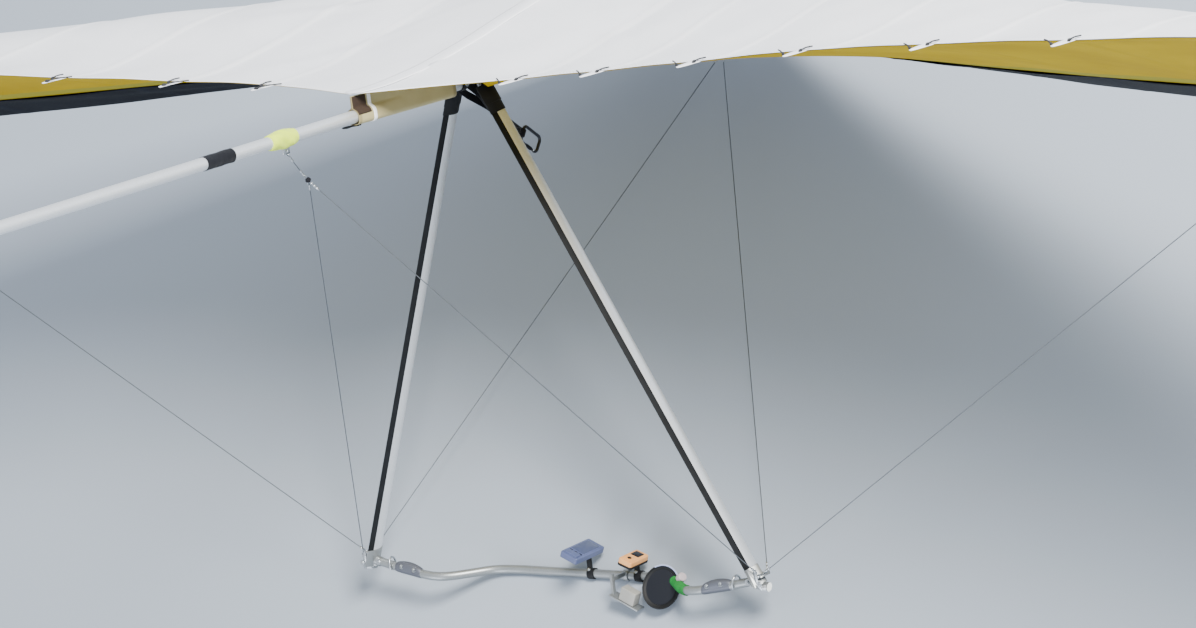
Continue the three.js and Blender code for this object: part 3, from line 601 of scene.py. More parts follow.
def relief(side, span, y, share):
    """How far the cloth stands off the rule's surface, in millimetres."""
    quiet_ends = np.clip(share / 0.12, 0, 1) * np.clip((1 - share) / 0.1, 0, 1)
    ridge = np.zeros_like(span)
    for batten in BATTEN_SPANS:
        ridge += RIDGE_HEIGHT * np.clip(1 - np.abs(span - batten) / RIDGE_HALF, 0, 1) ** 0.8
    height = ridge * np.clip(share / 0.08, 0, 1) + BILLOW * between_battens(span) * quiet_ends
    for crease_side, s0, y0, s1, y1, tall, width in CREASES:
        if crease_side != side:
            continue
        length = math.hypot(s1 - s0, y1 - y0)
        along = ((span - s0) * (s1 - s0) + (y - y0) * (y1 - y0)) / length ** 2
        off = ((span - s0) * (y1 - y0) - (y - y0) * (s1 - s0)) / length
        fade = np.clip(np.sin(math.pi * np.clip(along, 0, 1)), 0, 1) ** 0.7
        beside = np.exp(-(((off - 1.7 * width) / width) ** 2))
        height += tall * fade * (np.exp(-((off / width) ** 2)) - 0.5 * beside)
    for along_span, along_y, phase, tall in RIPPLES:
        wave = np.sin(2 * math.pi * (along_span * span + along_y * y) / 1000 + phase + side)
        height += tall * wave * quiet_ends
    return height


# %% From a grid to a cloth with thickness
def quads_of(rows, columns):
    """The faces of a grid of points, row after row."""
    index = np.arange(rows * columns).reshape(rows, columns)
    return np.stack([index[:-1, :-1], index[1:, :-1], index[1:, 1:], index[:-1, 1:]], -1).reshape(-1, 4)


def normals_of(grid):
    """Unit ways square to a grid."""
    normals = np.cross(np.gradient(grid, axis=1), np.gradient(grid, axis=0))
    return normals / np.linalg.norm(normals, axis=-1, keepdims=True)


def cloth_from_grid(name, outer, thickness, inward, values, keep=None):
    """A closed thin body from a grid of points. Inward gives the way to the other layer, values are
    put on the points by name, and keep says which of the grid's faces exist."""
    rows, columns = outer.shape[:2]
    inner = outer + np.multiply(inward, thickness)
    points = np.concatenate([outer.reshape(-1, 3), inner.reshape(-1, 3)])
    quads = quads_of(rows, columns)
    if keep is not None:
        middle = outer.reshape(-1, 3)[quads].mean(axis=1)
        quads = quads[keep(middle)]
    below = quads[:, ::-1] + rows * columns
    used = dict.fromkeys((a, b) for quad in quads for a, b in zip(quad, np.roll(quad, -1)))
    rim = [(b, a, a + rows * columns, b + rows * columns) for a, b in used if (b, a) not in used]
    mesh = mesh_of(name, points, [*quads, *below, *rim])
    steps = np.linalg.norm(np.diff(outer, axis=1), axis=2)
    along = np.concatenate([np.zeros((rows, 1)), np.cumsum(steps, axis=1)], axis=1) * MM
    across_steps = np.linalg.norm(np.diff(outer, axis=0), axis=2)
    over = np.concatenate([np.zeros((1, columns)), np.cumsum(across_steps, axis=0)], axis=0) * MM
    flat_map = np.tile(np.stack([along, over], -1).reshape(-1, 2), (2, 1))
    put_cloth_values(mesh, flat_map, {key: np.tile(value.reshape(-1), 2) for key, value in values.items()})
    corners = outer.reshape(-1, 3)[quads] * MM
    sides = np.cross(corners[:, 2] - corners[:, 0], corners[:, 3] - corners[:, 1])
    mesh["flat_area"] = float(np.linalg.norm(sides, axis=1).sum() / 2)
    mesh["flat_width"] = float(over.max())
    mesh["flat_length"] = float(along.max())
    return tidy(mesh)


def put_cloth_values(mesh, flat_map, values):
    """Writes the UV map in metres and the named values of the points."""
    layer = mesh.uv_layers.new(name="cloth")
    corners = np.empty(len(mesh.loops), dtype=np.int32)
    mesh.loops.foreach_get("vertex_index", corners)
    layer.data.foreach_set("uv", flat_map[corners].astype(np.float32).reshape(-1))
    for name, numbers in values.items():
        attribute = mesh.attributes.new(name, "FLOAT", "POINT")
        attribute.data.foreach_set("value", numbers.astype(np.float32))


def cloth_piece(mesh, material, stands_for=()):
    piece = new_piece(mesh.name, mesh, material, stands_for=stands_for)


# %% [markdown]
# The sail has three large cloths a side: a white upper one, a mustard lower one, and a navy
# band of laminated cloth that wraps round the leading edge and covers the front edges of the
# other two. The band is drawn a little proud, as its seam allowance is. Two small ribs close
# the space between the surfaces, one at the tip and one beside the nose plate.

# %% The sail's cloths
BAND_TOP, BAND_UNDER = 0.035, 0.25  # where the band ends on the upper and the lower surface
LOWER_REACH = 0.996  # the lower cloth is sewn to the upper one close to the hem
BAND_PROUD = 1.4
LOWER_RELIEF = 0.5  # the lower cloth is pulled flatter, by this share
APEX_HOLE = {"x": 105, "front": -90, "rear": 110}
KEEL_SLOT_X = 21
NOSE_HOLE = {"x": 165, "rear": -1210}
APEX_HOLE_SHARES = (0.6717, 0.7745)  # the hole's edges as shares of the chord near the keel
UP, DOWN = (0.0, 0.0, 1.0), (0.0, 0.0, -1.0)


def wing_grid(side, spans, shares, surface, proud):
    """Points of one surface. Upper is 1 for the upper one and -1 for the lower one."""
    span, share = np.meshgrid(spans, shares, indexing="ij")
    y, top, low = wing_section(span, share)
    height = relief(side, span, y, share)
    z = np.where(surface > 0, top + height + proud, low - height * LOWER_RELIEF - proud)
    return np.stack([side * span, y, z], -1), span, share


def plain_values(grid):
    """Values for a cloth that is nowhere double."""
    return {"doubled": np.zeros(grid.shape[:2]), "share": np.zeros(grid.shape[:2])}


def pocket_values(span, share):
    """Where the cloth lies double: over the battens' pockets and along the hem."""
    near = np.min(np.abs(span[..., None] - BATTEN_SPANS), axis=-1)
    pocket = np.clip((POCKET_HALF + 3 - near) / 4, 0, 1)
    hem = np.clip((share - 0.985) / 0.004, 0, 1)
    return {"doubled": np.maximum(pocket, hem), "share": share}


def upper_cloth(side, label):
    spans = span_lines(CENTRE_GAP, TIP_SPAN)
    shares = share_lines(BAND_TOP - 0.01, 1, 56, (0.984, 0.99))
    grid, span, share = wing_grid(side, spans, shares, 1, 0)
    return cloth_from_grid(f"sail_upper_{label}", grid, CLOTH_THICKNESS, DOWN, pocket_values(span, share))


def lower_cloth(side, label):
    spans = span_lines(CENTRE_GAP, TIP_SPAN)
    end = from_keel(SURFACE_END, spans)
    steps = share_lines(0, 1, 44)
    rear = np.maximum(LOWER_REACH, end + CLOSING)
    share = BAND_UNDER - 0.01 + (rear[:, None] - BAND_UNDER + 0.01) * steps[None, :]
    for hole_share in APEX_HOLE_SHARES:
        column = np.abs(share[0] - hole_share).argmin()
        pull = np.clip(1 - spans / 400, 0, 1)
        share[:, column] += (hole_share - share[:, column]) * np.where(spans < 130, 1, pull)
    span = np.broadcast_to(spans[:, None], share.shape)
    y, top, low = wing_section(span, share)
    z = low + relief(side, span, y, share) * LOWER_RELIEF * np.clip((share - BAND_UNDER) / 0.1, 0, 1)
    z = np.minimum(z, top - CLOTH_THICKNESS * 2.2)
    grid = np.stack([side * span, y, z], -1)
    return cloth_from_grid(f"sail_lower_{label}", grid, CLOTH_THICKNESS, UP,
                           pocket_values(span, share), lower_cloth_is_there)


def lower_cloth_is_there(middle):
    """Leaves out the openings for the downtubes' apex and for the keel."""
    x, y = np.abs(middle[:, 0]), middle[:, 1]
    apex_hole = (x < APEX_HOLE["x"]) & (y > APEX_HOLE["front"]) & (y < APEX_HOLE["rear"])
    keel_slot = (x < KEEL_SLOT_X) & (y >= APEX_HOLE["rear"])
    nose_hole = (x < NOSE_HOLE["x"]) & (y < NOSE_HOLE["rear"])
    return ~(apex_hole | keel_slot | nose_hole)


def edge_band(side, label):
    """The navy cloth: back from the upper surface, round the leading edge, and under."""
    spans = span_lines(NOSE_HOLE["x"], TIP_SPAN)
    over = share_lines(0.0, BAND_TOP, 9)[::-1]
    under = share_lines(0.0, BAND_UNDER, 22)[1:]
    upper, span_a, share_a = wing_grid(side, spans, over, 1, BAND_PROUD)
    lower, span_b, share_b = wing_grid(side, spans, under, -1, BAND_PROUD)
    grid = np.concatenate([upper, lower], axis=1)
    share = np.concatenate([share_a, share_b], axis=1)
    values = pocket_values(np.concatenate([span_a, span_b], axis=1), share)
    inward = normals_of(grid) * side
    return cloth_from_grid(f"leading_edge_band_{label}", grid, CLOTH_THICKNESS, inward, values)


def rib_cloth(name, side, at_span, last_share, way):
    """A flat cloth between the two surfaces, which closes the wing at one place along its span."""
    shares = share_lines(0.0, last_share, 30)
    y, top, low = wing_section(np.full_like(shares, at_span), shares)
    x = np.full_like(shares, side * at_span)
    rows = [np.stack([x, y, low + (top - low) * part], -1) for part in (0.0, 0.5, 1.0)]
    grid = np.stack(rows, 0)
    mesh = cloth_from_grid(name, grid, CLOTH_THICKNESS, (side * way, 0.0, 0.0), plain_values(grid))
    # the rib slants, so its cut is narrower than its upright height
    slant = math.atan2(low[-1] - low[0], y[-1] - y[0])
    mesh["flat_width"] *= math.cos(slant)
    return mesh


def tip_rib(side, label):
    """The cloth that closes the wing's outer end."""
    return rib_cloth(f"tip_rib_{label}", side, TIP_SPAN - 0.5, 0.97, -1.0)


def nose_rib(side, label):
    """The cloth beside the nose plate, which closes the wing's inner end in front of the lower cloth."""
    last_share = share_at(NOSE_HOLE["x"], NOSE_HOLE["rear"] + 6)
    return rib_cloth(f"nose_rib_{label}", side, NOSE_HOLE["x"] + 0.5, last_share, 1.0)


SAIL_CLOTHS = [
    (upper_cloth, white_cloth, "sail_cloth"), (lower_cloth, mustard_cloth, "under_cloth"),
    (edge_band, edge_cloth, "edge_cloth"), (tip_rib, white_cloth, "sail_cloth"),
    (nose_rib, white_cloth, "sail_cloth"),
]
for side, label in SIDES:
    for form, cloth, slot in SAIL_CLOTHS:
        stands_for = (f"sail_{label}",) if form is upper_cloth else ()
        cloth_piece(form(side, label), cloth, stands_for)

# %% [markdown]
# ## Geometry Nodes for what repeats
#
# Bolts, stitches, cable strands, ferrules and ribs repeat, and some bodies follow a path. A
# Geometry Nodes tree is a recipe for such a form. It has named inputs for its sizes, and it
# runs on a seed: bare points, or lines of points joined by edges. The result is turned into
# a plain mesh at once, so nothing live is left on a piece.

# %% Helpers for Geometry Nodes
def start_tree(name, **inputs):
    """A tree with named inputs. Each is given with its kind of socket, such as Float or Material."""
    tree = bpy.data.node_groups.new(name, "GeometryNodeTree")
    tree.interface.new_socket("Seed", in_out="INPUT", socket_type="NodeSocketGeometry")
    for label, kind in inputs.items():
        tree.interface.new_socket(label.replace("_", " "), in_out="INPUT", socket_type=f"NodeSocket{kind}")
    tree.interface.new_socket("Form", in_out="OUTPUT", socket_type="NodeSocketGeometry")
    return tree, add_node(tree, "NodeGroupInput").outputs


def end_tree(tree, form, finish):
    """Turns instances into real faces and gives them their finish."""
    real = add_node(tree, "GeometryNodeRealizeInstances", {}, {"Geometry": form})
    painted = add_node(tree, "GeometryNodeSetMaterial", {},
                       {"Geometry": real.outputs["Geometry"], "Material": finish})
    add_node(tree, "NodeGroupOutput", {}, {"Form": painted.outputs["Geometry"]})


def end_on_points(tree, points, form, finish, rotation=(0, 0, 0)):
    """Puts a form on every point, and ends the tree with that."""
    placed = add_node(tree, "GeometryNodeInstanceOnPoints", {},
                      {"Points": points, "Instance": form, "Rotation": rotation})
    end_tree(tree, placed.outputs["Instances"], finish)


def applied(holder):
    """A plain mesh of what an object's modifiers make of it. The object itself goes."""
    mesh = bpy.data.meshes.new_from_object(holder.evaluated_get(bpy.context.evaluated_depsgraph_get()))
    bpy.data.objects.remove(holder)
    return mesh


def grow(tree, seed, **values):
    """Runs a tree on a seed mesh and hands back a plain mesh."""
    holder = add_object(tree.name, seed)
    recipe = holder.modifiers.new("recipe", "NODES")
    recipe.node_group = tree
    for socket in tree.interface.items_tree:
        word = socket.name.replace(" ", "_")
        if socket.in_out == "INPUT" and word in values:
            recipe[socket.identifier] = values[word]
    return applied(holder)


def points_seed(places, ways):
    """Bare points, each with the way that its form faces."""
    mesh = bpy.data.meshes.new("seed")
    mesh.from_pydata([tuple(p) for p in places], [], [])
    facing = mesh.attributes.new("facing", "FLOAT_VECTOR", "POINT")
    unit_ways = np.array([tuple(Vector(w).normalized()) for w in ways], np.float32)
    facing.data.foreach_set("vector", unit_ways.reshape(-1))
    return mesh


def lines_seed(*lines):
    """Lines of points, joined by edges."""
    points, edges = [], []
    for line in lines:
        first = len(points)
        points += [tuple(p) for p in line]
        edges += [(i, i + 1) for i in range(first, len(points) - 1)]
    mesh = bpy.data.meshes.new("seed")
    mesh.from_pydata(points, edges, [])
    return mesh


def calc(tree, operation, first, second=0.0):
    return add_node(tree, "ShaderNodeMath", {"operation": operation}, {0: first, 1: second}).outputs["Value"]


def xyz(tree, x=0.0, y=0.0, z=0.0):
    return add_node(tree, "ShaderNodeCombineXYZ", {}, {"X": x, "Y": y, "Z": z}).outputs["Vector"]


def turn_to(tree, way, axis):
    """A rotation that points an axis of a form along a vector."""
    made = add_node(tree, "FunctionNodeAlignRotationToVector", {"axis": axis}, {"Vector": way})
    return made.outputs["Rotation"]


def line_of(tree, seed):
    return add_node(tree, "GeometryNodeMeshToCurve", {}, {"Mesh": seed}).outputs["Curve"]


def spaced(tree, line, spacing):
    """A line with its points at an even spacing."""
    return add_node(tree, "GeometryNodeResampleCurve", {"mode": "LENGTH"},
                    {"Curve": line, "Length": spacing}).outputs["Curve"]


def smooth_tube(tree, line, profile, scale=1.0):
    """Sweeps a profile along a line, closes its ends and shades it smooth."""
    tube = add_node(tree, "GeometryNodeCurveToMesh", {},
                    {"Curve": line, "Profile Curve": profile, "Scale": scale, "Fill Caps": True})
    smooth = add_node(tree, "GeometryNodeSetShadeSmooth", {}, {"Geometry": tube.outputs["Mesh"]})
    return smooth.outputs["Geometry"]


def circle(tree, sides, radius):
    return add_node(tree, "GeometryNodeCurvePrimitiveCircle", {},
                    {"Resolution": sides, "Radius": radius}).outputs["Curve"]


# %% Bolts on points
BOLT_PARTS = [  # sides, and radius, height and foot as shares of the head's
    (24, 1.5, 0.25, 0.0),  # a washer
    (6, 1.0, 1.0, 0.25),  # a six-sided head
    (16, 0.5, 0.5, 1.25),  # the end of the thread
]
bolt_tree, given = start_tree("bolt", Head_radius="Float", Head_height="Float", Finish="Material")
bolt = add_node(bolt_tree, "GeometryNodeJoinGeometry")
for sides, wide, tall, foot in BOLT_PARTS:
    part = add_node(bolt_tree, "GeometryNodeMeshCylinder", {}, {
        "Vertices": sides, "Radius": calc(bolt_tree, "MULTIPLY", given["Head radius"], wide),
        "Depth": calc(bolt_tree, "MULTIPLY", given["Head height"], tall)})
    lift = xyz(bolt_tree, z=calc(bolt_tree, "MULTIPLY", given["Head height"], foot + tall / 2))
    raised = add_node(bolt_tree, "GeometryNodeTransform", {},
                      {"Geometry": part.outputs["Mesh"], "Translation": lift})
    bolt_tree.links.new(raised.outputs["Geometry"], bolt.inputs["Geometry"])
facing = add_node(bolt_tree, "GeometryNodeInputNamedAttribute", {"data_type": "FLOAT_VECTOR"},
                  {"Name": "facing"})
end_on_points(bolt_tree, given["Seed"], bolt.outputs["Geometry"], given["Finish"],
              turn_to(bolt_tree, facing.outputs["Attribute"], "Z"))


def bolts(places, ways, head_radius, head_height):
    return grow(bolt_tree, points_seed(places, ways), Head_radius=head_radius, Head_height=head_height,
                Finish=stainless)


# %% Stitches along lines
stitch_tree, given = start_tree("stitches", Spacing="Float", Stitch_length="Float", Thread_radius="Float",
                                Finish="Material")
row = spaced(stitch_tree, line_of(stitch_tree, given["Seed"]), given["Spacing"])
thread = add_node(stitch_tree, "GeometryNodeMeshIcoSphere", {}, {"Radius": 1.0, "Subdivisions": 1})
stitch_size = xyz(stitch_tree, calc(stitch_tree, "MULTIPLY", given["Stitch length"], 0.5),
                  given["Thread radius"], given["Thread radius"])
stitch = add_node(stitch_tree, "GeometryNodeTransform", {},
                  {"Geometry": thread.outputs["Mesh"], "Scale": stitch_size})
tangent = add_node(stitch_tree, "GeometryNodeInputTangent").outputs["Tangent"]
end_on_points(stitch_tree, row, stitch.outputs["Geometry"], given["Finish"],
              turn_to(stitch_tree, tangent, "X"))


def stitches(lines, finish, spacing, stitch_length, thread_radius):
    return grow(stitch_tree, lines_seed(*lines), Spacing=spacing, Stitch_length=stitch_length,
                Thread_radius=thread_radius, Finish=finish)


# %% Twisted cable along lines
STRANDS = 6
VALLEY = 0.78  # between two strands, as a share of the cable's radius
cable_tree, given = start_tree("cable", Radius="Float", Lay_length="Float", Finish="Material")
step = calc(cable_tree, "DIVIDE", given["Lay length"], float(STRANDS))
line = spaced(cable_tree, line_of(cable_tree, given["Seed"]), step)
length_so_far = add_node(cable_tree, "GeometryNodeSplineParameter").outputs["Length"]
turns = calc(cable_tree, "DIVIDE", length_so_far, given["Lay length"])
tilted = add_node(cable_tree, "GeometryNodeSetCurveTilt", {},
                  {"Curve": line, "Tilt": calc(cable_tree, "MULTIPLY", turns, 2 * math.pi)})
star = add_node(cable_tree, "GeometryNodeCurveStar", {}, {
    "Points": STRANDS, "Outer Radius": given["Radius"],
    "Inner Radius": calc(cable_tree, "MULTIPLY", given["Radius"], VALLEY)})
end_tree(cable_tree, smooth_tube(cable_tree, tilted.outputs["Curve"], star.outputs["Curve"]), given["Finish"])


# %% Crimped ferrules on short lines
CRIMP_MIDDLE, CRIMP_DEPTH = 0.89, 0.11  # shares of the ferrule's radius, which swings by this depth
ferrule_tree, given = start_tree("ferrule", Radius="Float", Crimps="Float", Finish="Material")
line = add_node(ferrule_tree, "GeometryNodeResampleCurve", {"mode": "COUNT"},
                {"Curve": line_of(ferrule_tree, given["Seed"]), "Count": 25})
along = add_node(ferrule_tree, "GeometryNodeSplineParameter").outputs["Factor"]
wave = calc(ferrule_tree, "COSINE", calc(ferrule_tree, "MULTIPLY",
                                         calc(ferrule_tree, "MULTIPLY", along, given["Crimps"]), 2 * math.pi))
waist = calc(ferrule_tree, "SUBTRACT", CRIMP_MIDDLE, calc(ferrule_tree, "MULTIPLY", wave, CRIMP_DEPTH))
crimped = smooth_tube(ferrule_tree, line.outputs["Curve"], circle(ferrule_tree, 16, given["Radius"]), waist)
end_tree(ferrule_tree, crimped, given["Finish"])


# %% Tubes along paths, and ribs on them
tube_tree, given = start_tree("tube", Radius="Float", Sides="Int", Finish="Material")
profile = circle(tube_tree, given["Sides"], given["Radius"])
end_tree(tube_tree, smooth_tube(tube_tree, line_of(tube_tree, given["Seed"]), profile), given["Finish"])

rib_tree, given = start_tree("ribs", Spacing="Float", Ring_radius="Float", Rib_radius="Float",
                             Finish="Material")
line = spaced(rib_tree, line_of(rib_tree, given["Seed"]), given["Spacing"])
rib = smooth_tube(rib_tree, circle(rib_tree, 40, given["Ring radius"]),
                  circle(rib_tree, 6, given["Rib radius"]))
tangent = add_node(rib_tree, "GeometryNodeInputTangent").outputs["Tangent"]
end_on_points(rib_tree, line, rib, given["Finish"], turn_to(rib_tree, tangent, "Z"))


def tube(path, radius, finish, sides):
    return grow(tube_tree, lines_seed(path), Radius=radius, Sides=sides, Finish=finish)


print("trees:", [tree.name for tree in bpy.data.node_groups])

# %% [markdown]
# ## Bodies from rings of points
#
# A turned part is a profile spun about its axis, and a strap is a flat outline moved along a
# path. Both are rings of points, one after the other, joined into a skin. The skin carries
# a UV map in metres, so that cloth and tape can be wound on it.

# %% Rings, turned bodies and straps
SHARP = math.radians(38)  # an edge that bends more than this stays sharp


def ringed(name, rings, hollow=False):
    """A closed body from rings of points: flat at both ends, or hollow, with the last ring on the first."""
    loops = np.concatenate([rings, rings[:, :1]], axis=1)
    if hollow:
        loops = np.concatenate([loops, loops[:1]])
    else:
        ends = [np.broadcast_to(ring.mean(axis=0), (1,) + loops.shape[1:]) for ring in (rings[0], rings[-1])]
        loops = np.concatenate([ends[0], loops, ends[1]])
    rows, columns = loops.shape[:2]
    mesh = mesh_of(name, loops.reshape(-1, 3), quads_of(rows, columns))
    around = np.linalg.norm(np.diff(loops, axis=1), axis=2).cumsum(axis=1)
    along = np.linalg.norm(np.diff(loops, axis=0), axis=2).cumsum(axis=0)
    flat_map = np.stack([np.pad(along, ((1, 0), (0, 0))), np.pad(around, ((0, 0), (1, 0)))], -1) * MM
    put_cloth_values(mesh, flat_map.reshape(-1, 2), {})
    tidy(mesh)
    mesh.set_sharp_from_angle(angle=SHARP)
    return mesh


def turned(name, profile, start, toward, sides=64, lump=None, hollow=False):
    """A turned body: its profile gives a distance from the start and a radius. Lump adds to the radius."""
    start = np.array(start, float)
    along = Vector(np.array(toward, float) - start).normalized()
    side = along.orthogonal().normalized()
    angle = np.linspace(0, 2 * math.pi, sides, endpoint=False)
    out = np.outer(np.cos(angle), side) + np.outer(np.sin(angle), along.cross(side))
    rings = []
    for distance, radius in profile:
        radii = radius + (lump(distance, angle) if lump else np.zeros(sides))
        rings.append(start + distance * np.array(along) + radii[:, None] * out)
    return ringed(name, np.array(rings), hollow)


def ribbon(name, path, width, thickness, across=(0, 1, 0)):
    """A flat strap along a path, with round edges. Across is the way of its width."""
    path, across = np.array(path, float), np.array(across, float)
    normal = np.cross(np.gradient(path, axis=0), across)
    normal /= np.linalg.norm(normal, axis=1, keepdims=True)
    angle = (np.arange(16) + 0.5) * 2 * math.pi / 16
    edge = np.sign(np.cos(angle)) * (width - thickness) / 2 + np.cos(angle) * thickness / 2
    rise = np.sin(angle) * thickness / 2
    rings = path[:, None] + edge[None, :, None] * across + rise[None, :, None] * normal[:, None]
    return ringed(name, rings)


# %% [markdown]
# ## Milled and moulded parts
#
# A milled, bent or moulded part has its right shape in the model, but knife-sharp edges,
# and a file or a mould breaks real ones. A copy of such a part gets round edges from a Bevel
# modifier, and takes the part's place.

# %% A copy with broken edges
BEVEL_FROM = math.radians(30)  # an edge that bends more than this is rounded
SAME_POINT = 1e-5  # metres
FLAT_WITHIN = math.radians(1.5)


def bevelled(mesh, width, segments):
    """The mesh with its sharp edges rounded, in the mesh's own units."""
    holder = add_object(mesh.name, mesh)
    modifier = holder.modifiers.new("broken edges", "BEVEL")
    modifier.width, modifier.segments, modifier.limit_method = width, segments, "ANGLE"
    modifier.angle_limit = BEVEL_FROM
    result = applied(holder)
    result.polygons.foreach_set("use_smooth", [True] * len(result.polygons))
    result.set_sharp_from_angle(angle=SHARP)
    return result


def copy_of(node):
    """A model's part as one skin, with the flat faces that its triangles make up."""
    shape = bmesh.new()
    shape.from_mesh(frame["nodes"][node].data)
    bmesh.ops.remove_doubles(shape, verts=shape.verts, dist=SAME_POINT)
    bmesh.ops.dissolve_limit(shape, angle_limit=FLAT_WITHIN, verts=shape.verts, edges=shape.edges)
    mesh = bpy.data.meshes.new(f"{node}_detailed")
    shape.to_mesh(mesh)
    shape.free()
    return mesh


def refined(node, material, width, segments=2, extras=()):
    """Replaces a part by its copy with broken edges, and with extras drawn in the glider's frame."""
    mesh = bevelled(copy_of(node), width * MM, segments)
    mesh.materials.clear()
    mesh.materials.append(material)
    for extra in extras:
        extra.transform(TO_FLOOR)
    mesh = joined(f"{node}_detailed", mesh, *extras)
    return new_piece(mesh.name, mesh, None, stands_for=(node,), place=Matrix.Identity(4))

# %% [markdown]
# ## The keel
#
# The keel is a drawn aluminium tube. At its tail it has a moulded plug, then a black tape
# band, and a bright cloth tape wound over the anchor of the rear stays. Tape is wound by
# hand, so its edges wander and it lies in lumps.

# %% Keel tube, plug, band and bright tape
KEEL_RADIUS, KEEL_NOSE_Y, KEEL_TAIL_Y = 19.0, -1405.0, 2200.0
TAIL = (0, KEEL_TAIL_Y, 0)
BEHIND = (0, KEEL_TAIL_Y + 1, 0)
BAND_PLACE, WRAP_PLACE, SADDLE_PLACE = (1116, 1238), (838, 951), (38, 62)  # Y of both ends


def on_keel(name, place, profile, lump, sides=64):
    """A hollow body wound on the keel between two places along it."""
    first, last = place
    return turned(name, profile(last - first), (0, first, 0), (0, last, 0), sides, lump, hollow=True)


keel_length = KEEL_TAIL_Y - KEEL_NOSE_Y
keel_profile = [(0, KEEL_RADIUS - 1), (1, KEEL_RADIUS), (keel_length - 1, KEEL_RADIUS),
                (keel_length, KEEL_RADIUS - 1)]
mesh = turned("keel_tube_drawn", keel_profile, (0, KEEL_NOSE_Y, 0), TAIL)
new_piece("keel_tube_drawn", mesh, clear_anodised, stands_for=("keel_tube",))

plug_profile = [(0.3, 19.2), (1.5, 20.5), (20, 20.5), (24.6, 19.4), (26.3, 16.5), (26.3, 6), (24, 5),
                (23.8, 2)]
mesh = turned("keel_end_plug", plug_profile, TAIL, BEHIND)
new_piece("keel_end_plug", mesh, black_nylon, stands_for=("keel_end_cap",))


def wound(distance, angle):
    """Turns of tape that overlap: a low spiral step and a few soft lumps."""
    spiral = ((distance / 22 + angle / (2 * math.pi)) % 1) * 0.5
    return spiral + 0.35 * np.sin(3 * angle + distance / 9) + 0.25 * np.sin(5 * angle - distance / 14)


def tape_profile(inner, outer):
    """The profile of tape wound on the keel, for any length: its edges are 1.4 mm lower."""
    def profile(length):
        steps = [(d, outer) for d in np.linspace(1.2, length - 1.2, 28)]
        return [(0, inner), (0, outer - 1.4), *steps, (length, outer - 1.4), (length, inner)]
    return profile


mesh = on_keel("keel_band_tape", BAND_PLACE, tape_profile(19.3, 20.4), wound)
new_piece("keel_band_tape", mesh, webbing_black, stands_for=("keel_band",))


def bundled(distance, angle):
    """A thick wrap, fuller in its middle and pinched where the anchor's tang leaves it below."""
    full = math.sin(math.pi * min(1, max(0, distance / (WRAP_PLACE[1] - WRAP_PLACE[0])))) ** 0.6
    folds = 1.5 * np.sin(2 * angle + distance / 17) + 1.0 * np.sin(5 * angle - distance / 8 + 1.3)
    step = ((distance / 19 + angle / (2 * math.pi)) % 1) * 0.9
    return (full - 1) * 5.5 + folds * full + step


mesh = on_keel("keel_bright_wrap", WRAP_PLACE, tape_profile(19.4, 26.5), bundled, sides=96)
new_piece("keel_bright_wrap", mesh, bright_tape, stands_for=("keel_wrap",))
refined("keel_wire_anchor", stainless, 1.2,
        extras=[bolts([(2.6, 880, -36), (-2.6, 880, -36)], [(1, 0, 0), (-1, 0, 0)], 4.0, 2.5)])

# %% [markdown]
# ## The apex
#
# The block that clamps the keel is anodised black, and the downtubes' tops sit in moulded
# knuckles on its two arms. One bolt goes through each knuckle.

# %% Apex block and knuckles
apex_bolts = bolts([(0, 9.3, 16), (0, 9.3, -16), (0, -25.3, 16), (0, -25.3, -16)],
                   [(0, 1, 0), (0, 1, 0), (0, -1, 0), (0, -1, 0)], 3.4, 2.6)
refined("apex_bracket", black_anodised, 1.6, 3, [apex_bolts])
for side, label in SIDES:
    knuckle_bolts = bolts([(side * 48, 19.2, -8), (side * 48, -19.2, -8)], [(0, 1, 0), (0, -1, 0)], 5.5, 3.5)
    refined(f"downtube_knuckle_{label}", black_nylon, 1.8, 3, [knuckle_bolts])

# %% [markdown]
# ## Downtubes
#
# A downtube is drawn aluminium of a teardrop section, with a black fairing as its tail. Its
# section follows a rule: an ellipse in front, and a curve that thins out to the rear. The
# rule is swept from the knuckle to the corner's sleeve.

# %% Downtubes and their fairings
DOWNTUBE = {"front": 24.0, "rear": 40.0, "half": 13.5, "tail": 1.0, "seam": 23.0}
APEX_POINT, CORNER_POINT = np.array([54.0, 0, -12]), np.array([742.0, -120, -1551])
TUBE_SPAN = float(np.linalg.norm(CORNER_POINT - APEX_POINT))
TUBE_FROM, TUBE_TO = 92.3, TUBE_SPAN - 34.3
TUBE_EDGE, EDGE_REACH = 0.8, 14  # the broken edge at each end, over about half the section


def half_thickness(u):
    """Half the section's thickness at a place on its chord, which counts from the widest point."""
    front = DOWNTUBE["half"] * np.sqrt(np.clip(1 - (u / DOWNTUBE["front"]) ** 2, 0, 1))
    thinning = np.clip(u / DOWNTUBE["rear"], 0, 1) ** 1.8
    rear = DOWNTUBE["half"] + (DOWNTUBE["tail"] - DOWNTUBE["half"]) * thinning
    return np.where(u < 0, front, rear)


def downtube_axes(side):
    """Where a downtube starts, and the ways along it, to the rear and across."""
    top, foot = APEX_POINT * (side, 1, 1), CORNER_POINT * (side, 1, 1)
    along = (foot - top) / TUBE_SPAN
    aft = np.array([0, 1, 0]) - along * along[1]
    aft /= np.linalg.norm(aft)
    return top, along, aft, np.cross(along, aft)


